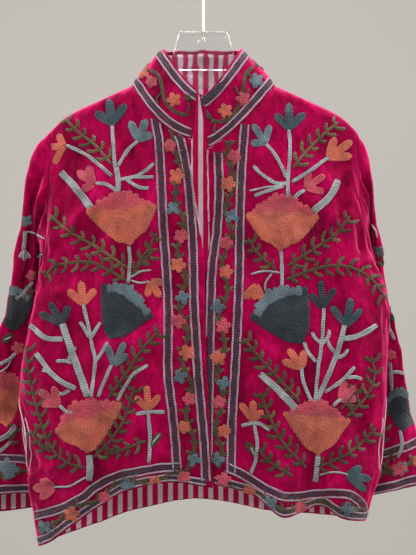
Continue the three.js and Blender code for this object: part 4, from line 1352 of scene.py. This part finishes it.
plant(sleeve_right, [
    (2, [(25, 231), (24, 240), (23, 250)]),
    (1, [(25, 232), (34, 233), (46, 240)]),
    (2, [(33, 282), (24, 292), (14, 300)]),
    (2, [(17, 352), (8, 360), (-4, 366)]),
    (1, [(12, 358), (6, 368), (-4, 374)]),
    (3, [(16, 426), (6, 436), (-10, 444)]),
    (2, [(12, 440), (4, 448), (-6, 455)]),
], sprigs=[
    (8, "olive", [(22, 300), (28, 294), (38, 290)]),
    (9, "olive", [(-30, 250), (-14, 262), (2, 282)]),
    (8, "olive", [(17, 425), (14, 436), (6, 446)]),
    (9, "olive", [(-50, 330), (-36, 360), (-24, 398)]),
])
sleeve_right.floret(27, 221, 6.5, "blue", None, 4)
sleeve_right.tulip((24, 250), (19, 258), (24, 261), (30, 258), "pale", 4)
sleeve_right.lobe((36, 258), (47, 252), 6, "olive")
sleeve_right.row([(37, 257), (45, 253)], "pale", level=1.2)
sleeve_right.floret(32, 276, 6.5, "pink", None, 5)
sleeve_right.fan((16, 332), (-14, 300), (10, 286), (34, 300), ("slate", "steel"), 12, 0.2)
sleeve_right.lobe((2, 342), (13, 334), 7, "olive")
sleeve_right.row([(4, 340), (11, 336)], "pale", level=1.2)
sleeve_right.floret(18, 348, 6.5, "pink", None, 5)
sleeve_right.fan((6, 428), (-18, 388), (6, 372), (26, 386), ("orange", "coral"), 11)
sleeve_right.tulip((8, 479), (0, 462), (7, 457), (15, 463), "blue", 6)
sleeve_right.tulip((-20, 262), (-34, 250), (-22, 236), (-8, 248), "orange", 8, "coral")
plant(sleeve_left, [
    (1, [(372, 224), (376, 232), (377, 238)]),
    (2, [(390, 362), (391, 376), (392, 392)]),
    (2, [(388, 374), (396, 372), (406, 374)]),
    (2, [(400, 430), (402, 444), (398, 458)]),
    (2, [(386, 318), (390, 330), (394, 340)]),
], sprigs=[
    (8, "olive", [(380, 250), (384, 268), (388, 284)]),
    (9, "olive", [(376, 400), (384, 424), (380, 448)]),
    (9, "olive", [(420, 300), (414, 326), (418, 350)]),
    (8, "olive", [(384, 470), (388, 460), (396, 448)]),
])
sleeve_left.floret(379, 252, 6.5, "teal", None, 4)
sleeve_left.tulip((392, 322), (384, 312), (390, 306), (398, 312), "slate", 6)
sleeve_left.floret(391, 355, 6.5, "pink", None, 5)
sleeve_left.fan((404, 432), (384, 402), (400, 388), (424, 404), ("slate", "steel"), 12, 0.2)
sleeve_left.floret(402, 468, 6.5, "blue", None, 4)
sleeve_left.fan((408, 330), (396, 306), (412, 290), (430, 308), ("orange", "coral"))
sleeve_left.floret(424, 370, 8, "orange", "slate")

for name, work, middle, tilt in (
    ("sleeve_right", sleeve_right, 8, -32),
    ("sleeve_left", sleeve_left, 380, 20),
):
    work.spot = cast_on(grids[name], from_behind)
    sleeve_plant(work, middle, tilt)
    wide_band(work, name, 9, np.linspace(0.05, 0.95, 11), 23)
    works[name] = work

# The back's hem
wide_band(back, "back", 11, np.linspace(0.04, 0.96, 15), 29)

# The lining's pale roll along the front edges and the pocket slits
for side in ("right", "left"):
    name = "front_" + side
    work, grid = works[name], grids[name]
    work.spot, work.unit = laid_on(grid), 1.0
    wide, deep = WIDE[name]
    shut = 165 if side == "right" else 130
    work.row([(0.8, y) for y in np.linspace(2, shut, 9)], "ecru", width=2.2, height=0.8, level=-0.5)
    heights, downs = grid.points[:, -1, 2], grid.flat[:, 0, 1]
    upper, lower = (np.interp(-z, -heights, downs) for z in (POCKET["top"] + 4, POCKET["bottom"] - 6))
    slit = np.linspace(upper, lower, 8)
    work.row([(wide - 0.7, y) for y in slit], "ecru", width=3.0, height=1.0, level=-0.4)
    loose = [(wide - 9 - 3 * math.sin(0.5 * k), y) for k, y in enumerate(slit[2:])]
    work.row(loose, "ecru", width=1.8, height=0.8)

stitched = {name: work.finish() for name, work in works.items()}


# Hook: the wire as one smooth curve
HOOK = {"wire": 2, "radius": 22, "low": -116.5, "stem": -62}
turns = np.radians(np.arange(-35, 216, 5))
middle = HOOK["wire"] - HOOK["radius"]
stem = [(0, HOOK["low"]), (0, -90), (0, HOOK["stem"]), (1.4, -56), (6, HOOK["stem"] + 13), (13, -40)]
arc = [(HOOK["radius"] * math.cos(a), middle + HOOK["radius"] * math.sin(a)) for a in turns]
line = smooth_path(stem + arc, 1.5)
curve = bpy.data.curves.new("hook_wire", "CURVE")
curve.dimensions = "3D"
curve.bevel_depth = HOOK["wire"] * 0.001
curve.bevel_resolution = 4
curve.use_fill_caps = True
spline = curve.splines.new("POLY")
spline.points.add(len(line) - 1)
for point, (x, z) in zip(spline.points, line):
    point.co = (x * 0.001, 0, z * 0.001, 1)
hook = link(bpy.data.objects.new("hook_wire", curve))
gold = Surface("pale_gold", (0.72, 0.66, 0.48), 0.25, Metallic=1.0)
drawn = gold.noise(gold.place(), 300)
gold.show("Roughness", gold.ramp(drawn, (0.3, 0.2), (0.7, 0.36)))
gold.show("Base Color", gold.ramp(drawn, (0.35, (0.6, 0.54, 0.38)), (0.65, (0.74, 0.68, 0.5))))
gold.bump(drawn, 0.0002, 0.3)
curve.materials.append(gold.material)

plastic = Surface("clear_plastic", (0.96, 0.97, 0.97), 0.12, Transmission_Weight=1.0, IOR=1.49)
# Painted shade: the clear plastic's colour darkens towards grazing angles, for its dark edges
edges = plastic.ramp(plastic.facing(0.35), (0.2, (0.93, 0.95, 0.96)), (0.7, (0.42, 0.44, 0.46)))
plastic.show("Base Color", edges)
plastic.bump(plastic.noise(plastic.place(), 24, 2), 0.008, 0.8)


def paint(obj, material):
    obj.data.materials.clear()
    obj.data.materials.append(material)


bag = bag_material()
paint(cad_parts["hanger"], plastic.material)
for side in ("right", "left"):
    paint(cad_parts["pocket_bag_" + side], bag)

# Which node each piece stands for, and how it hangs
for name, obj in pieces.items():
    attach(obj, "root")
    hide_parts(name)
for obj in stitched.values():
    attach(obj, "root")
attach(hook, "root")
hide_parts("hook")


# Room, lights and camera
def plane(name, corners, colour, glow):
    """A wall with painted light that makes it a little lighter towards its top, and faintly mottled."""
    made = Surface(name, colour, 0.95, Specular_IOR_Level=0.1, Emission_Strength=glow)
    place = made.place()
    # Painted light: the wall's colour and glow grow lighter with height
    up = made.maths("MULTIPLY_ADD", made.split(place)[2], 0.35, 0.43)
    tone = made.maths("MULTIPLY_ADD", made.noise(place, 0.9, 2), 0.5, up)
    mottled = made.ramp(tone, (0.2, tuple(0.86 * c for c in colour)), (1.0, colour))
    made.show("Base Color", mottled)
    made.show("Emission Color", mottled)
    return mesh_object(name, corners, [[0, 1, 2, 3]], materials=[made.material], smooth=False)


WIDE_X, FAR, NEAR, LOW, HIGH = 9000, 3900, -6000, -2300, 5000
backdrop = plane(
    "backdrop", [(-WIDE_X, FAR, LOW), (WIDE_X, FAR, LOW), (WIDE_X, FAR, HIGH), (-WIDE_X, FAR, HIGH)],
    (0.46, 0.435, 0.4), 0.69,
)
floor = plane(
    "floor", [(-WIDE_X, NEAR, LOW), (WIDE_X, NEAR, LOW), (WIDE_X, FAR, LOW), (-WIDE_X, FAR, LOW)],
    (0.5, 0.47, 0.43), 0.3,
)


def area_light(name, place, aim, size, power, seen):
    light = bpy.data.lights.new(name, "AREA")
    light.shape = "RECTANGLE"
    light.size, light.size_y = size
    light.energy = power
    obj = link(bpy.data.objects.new(name, light))
    obj.visible_camera = False
    obj.visible_glossy = obj.visible_transmission = seen
    obj.location = place
    obj.rotation_euler = (Vector(aim) - Vector(place)).to_track_quat("-Z", "Y").to_euler()


# name, place, aim, size, power, seen in gloss. The last two are the light that the pale lining throws about
for row in (
    ("key", (-0.9, -1.9, 1.0), (0, 0, -0.45), (0.8, 0.8), 33, True),
    ("fill", (1.3, -1.8, 0.3), (0, 0, -0.45), (1.0, 1.0), 17, True),
    ("top", (0.15, 0.1, 1.3), (0, 0, -0.4), (1.4, 0.8), 36, True),
    ("side_right", (-1.9, 0.1, 0.1), (-0.2, 0, -0.5), (1.0, 1.4), 26, True),
    ("side_left", (1.9, 0.1, 0.2), (0.2, 0, -0.5), (1.0, 1.4), 26, True),
    ("inside", (0, -0.012, -0.45), (0, 0.03, -0.45), (0.12, 0.52), 0.12, False),
    ("neck", (0, -0.02, -0.115), (0, 0.03, -0.14), (0.08, 0.03), 0.006, False),
):
    area_light(*row)
world = bpy.data.worlds.new("room")
bpy.context.scene.world = world
world.use_nodes = True
sky = world.node_tree.nodes["Background"].inputs
sky["Color"].default_value = (0.95, 0.97, 1.0, 1)
sky["Strength"].default_value = 0.28

lens = bpy.data.cameras.new("camera")
lens.sensor_width = 36
lens.lens = 74.13
camera = link(bpy.data.objects.new("camera", lens))
camera.location = EYE * 0.001
camera.rotation_euler = (math.pi / 2, 0, 0)
bpy.context.scene.camera = camera
bpy.context.scene.view_settings.view_transform = "Standard"
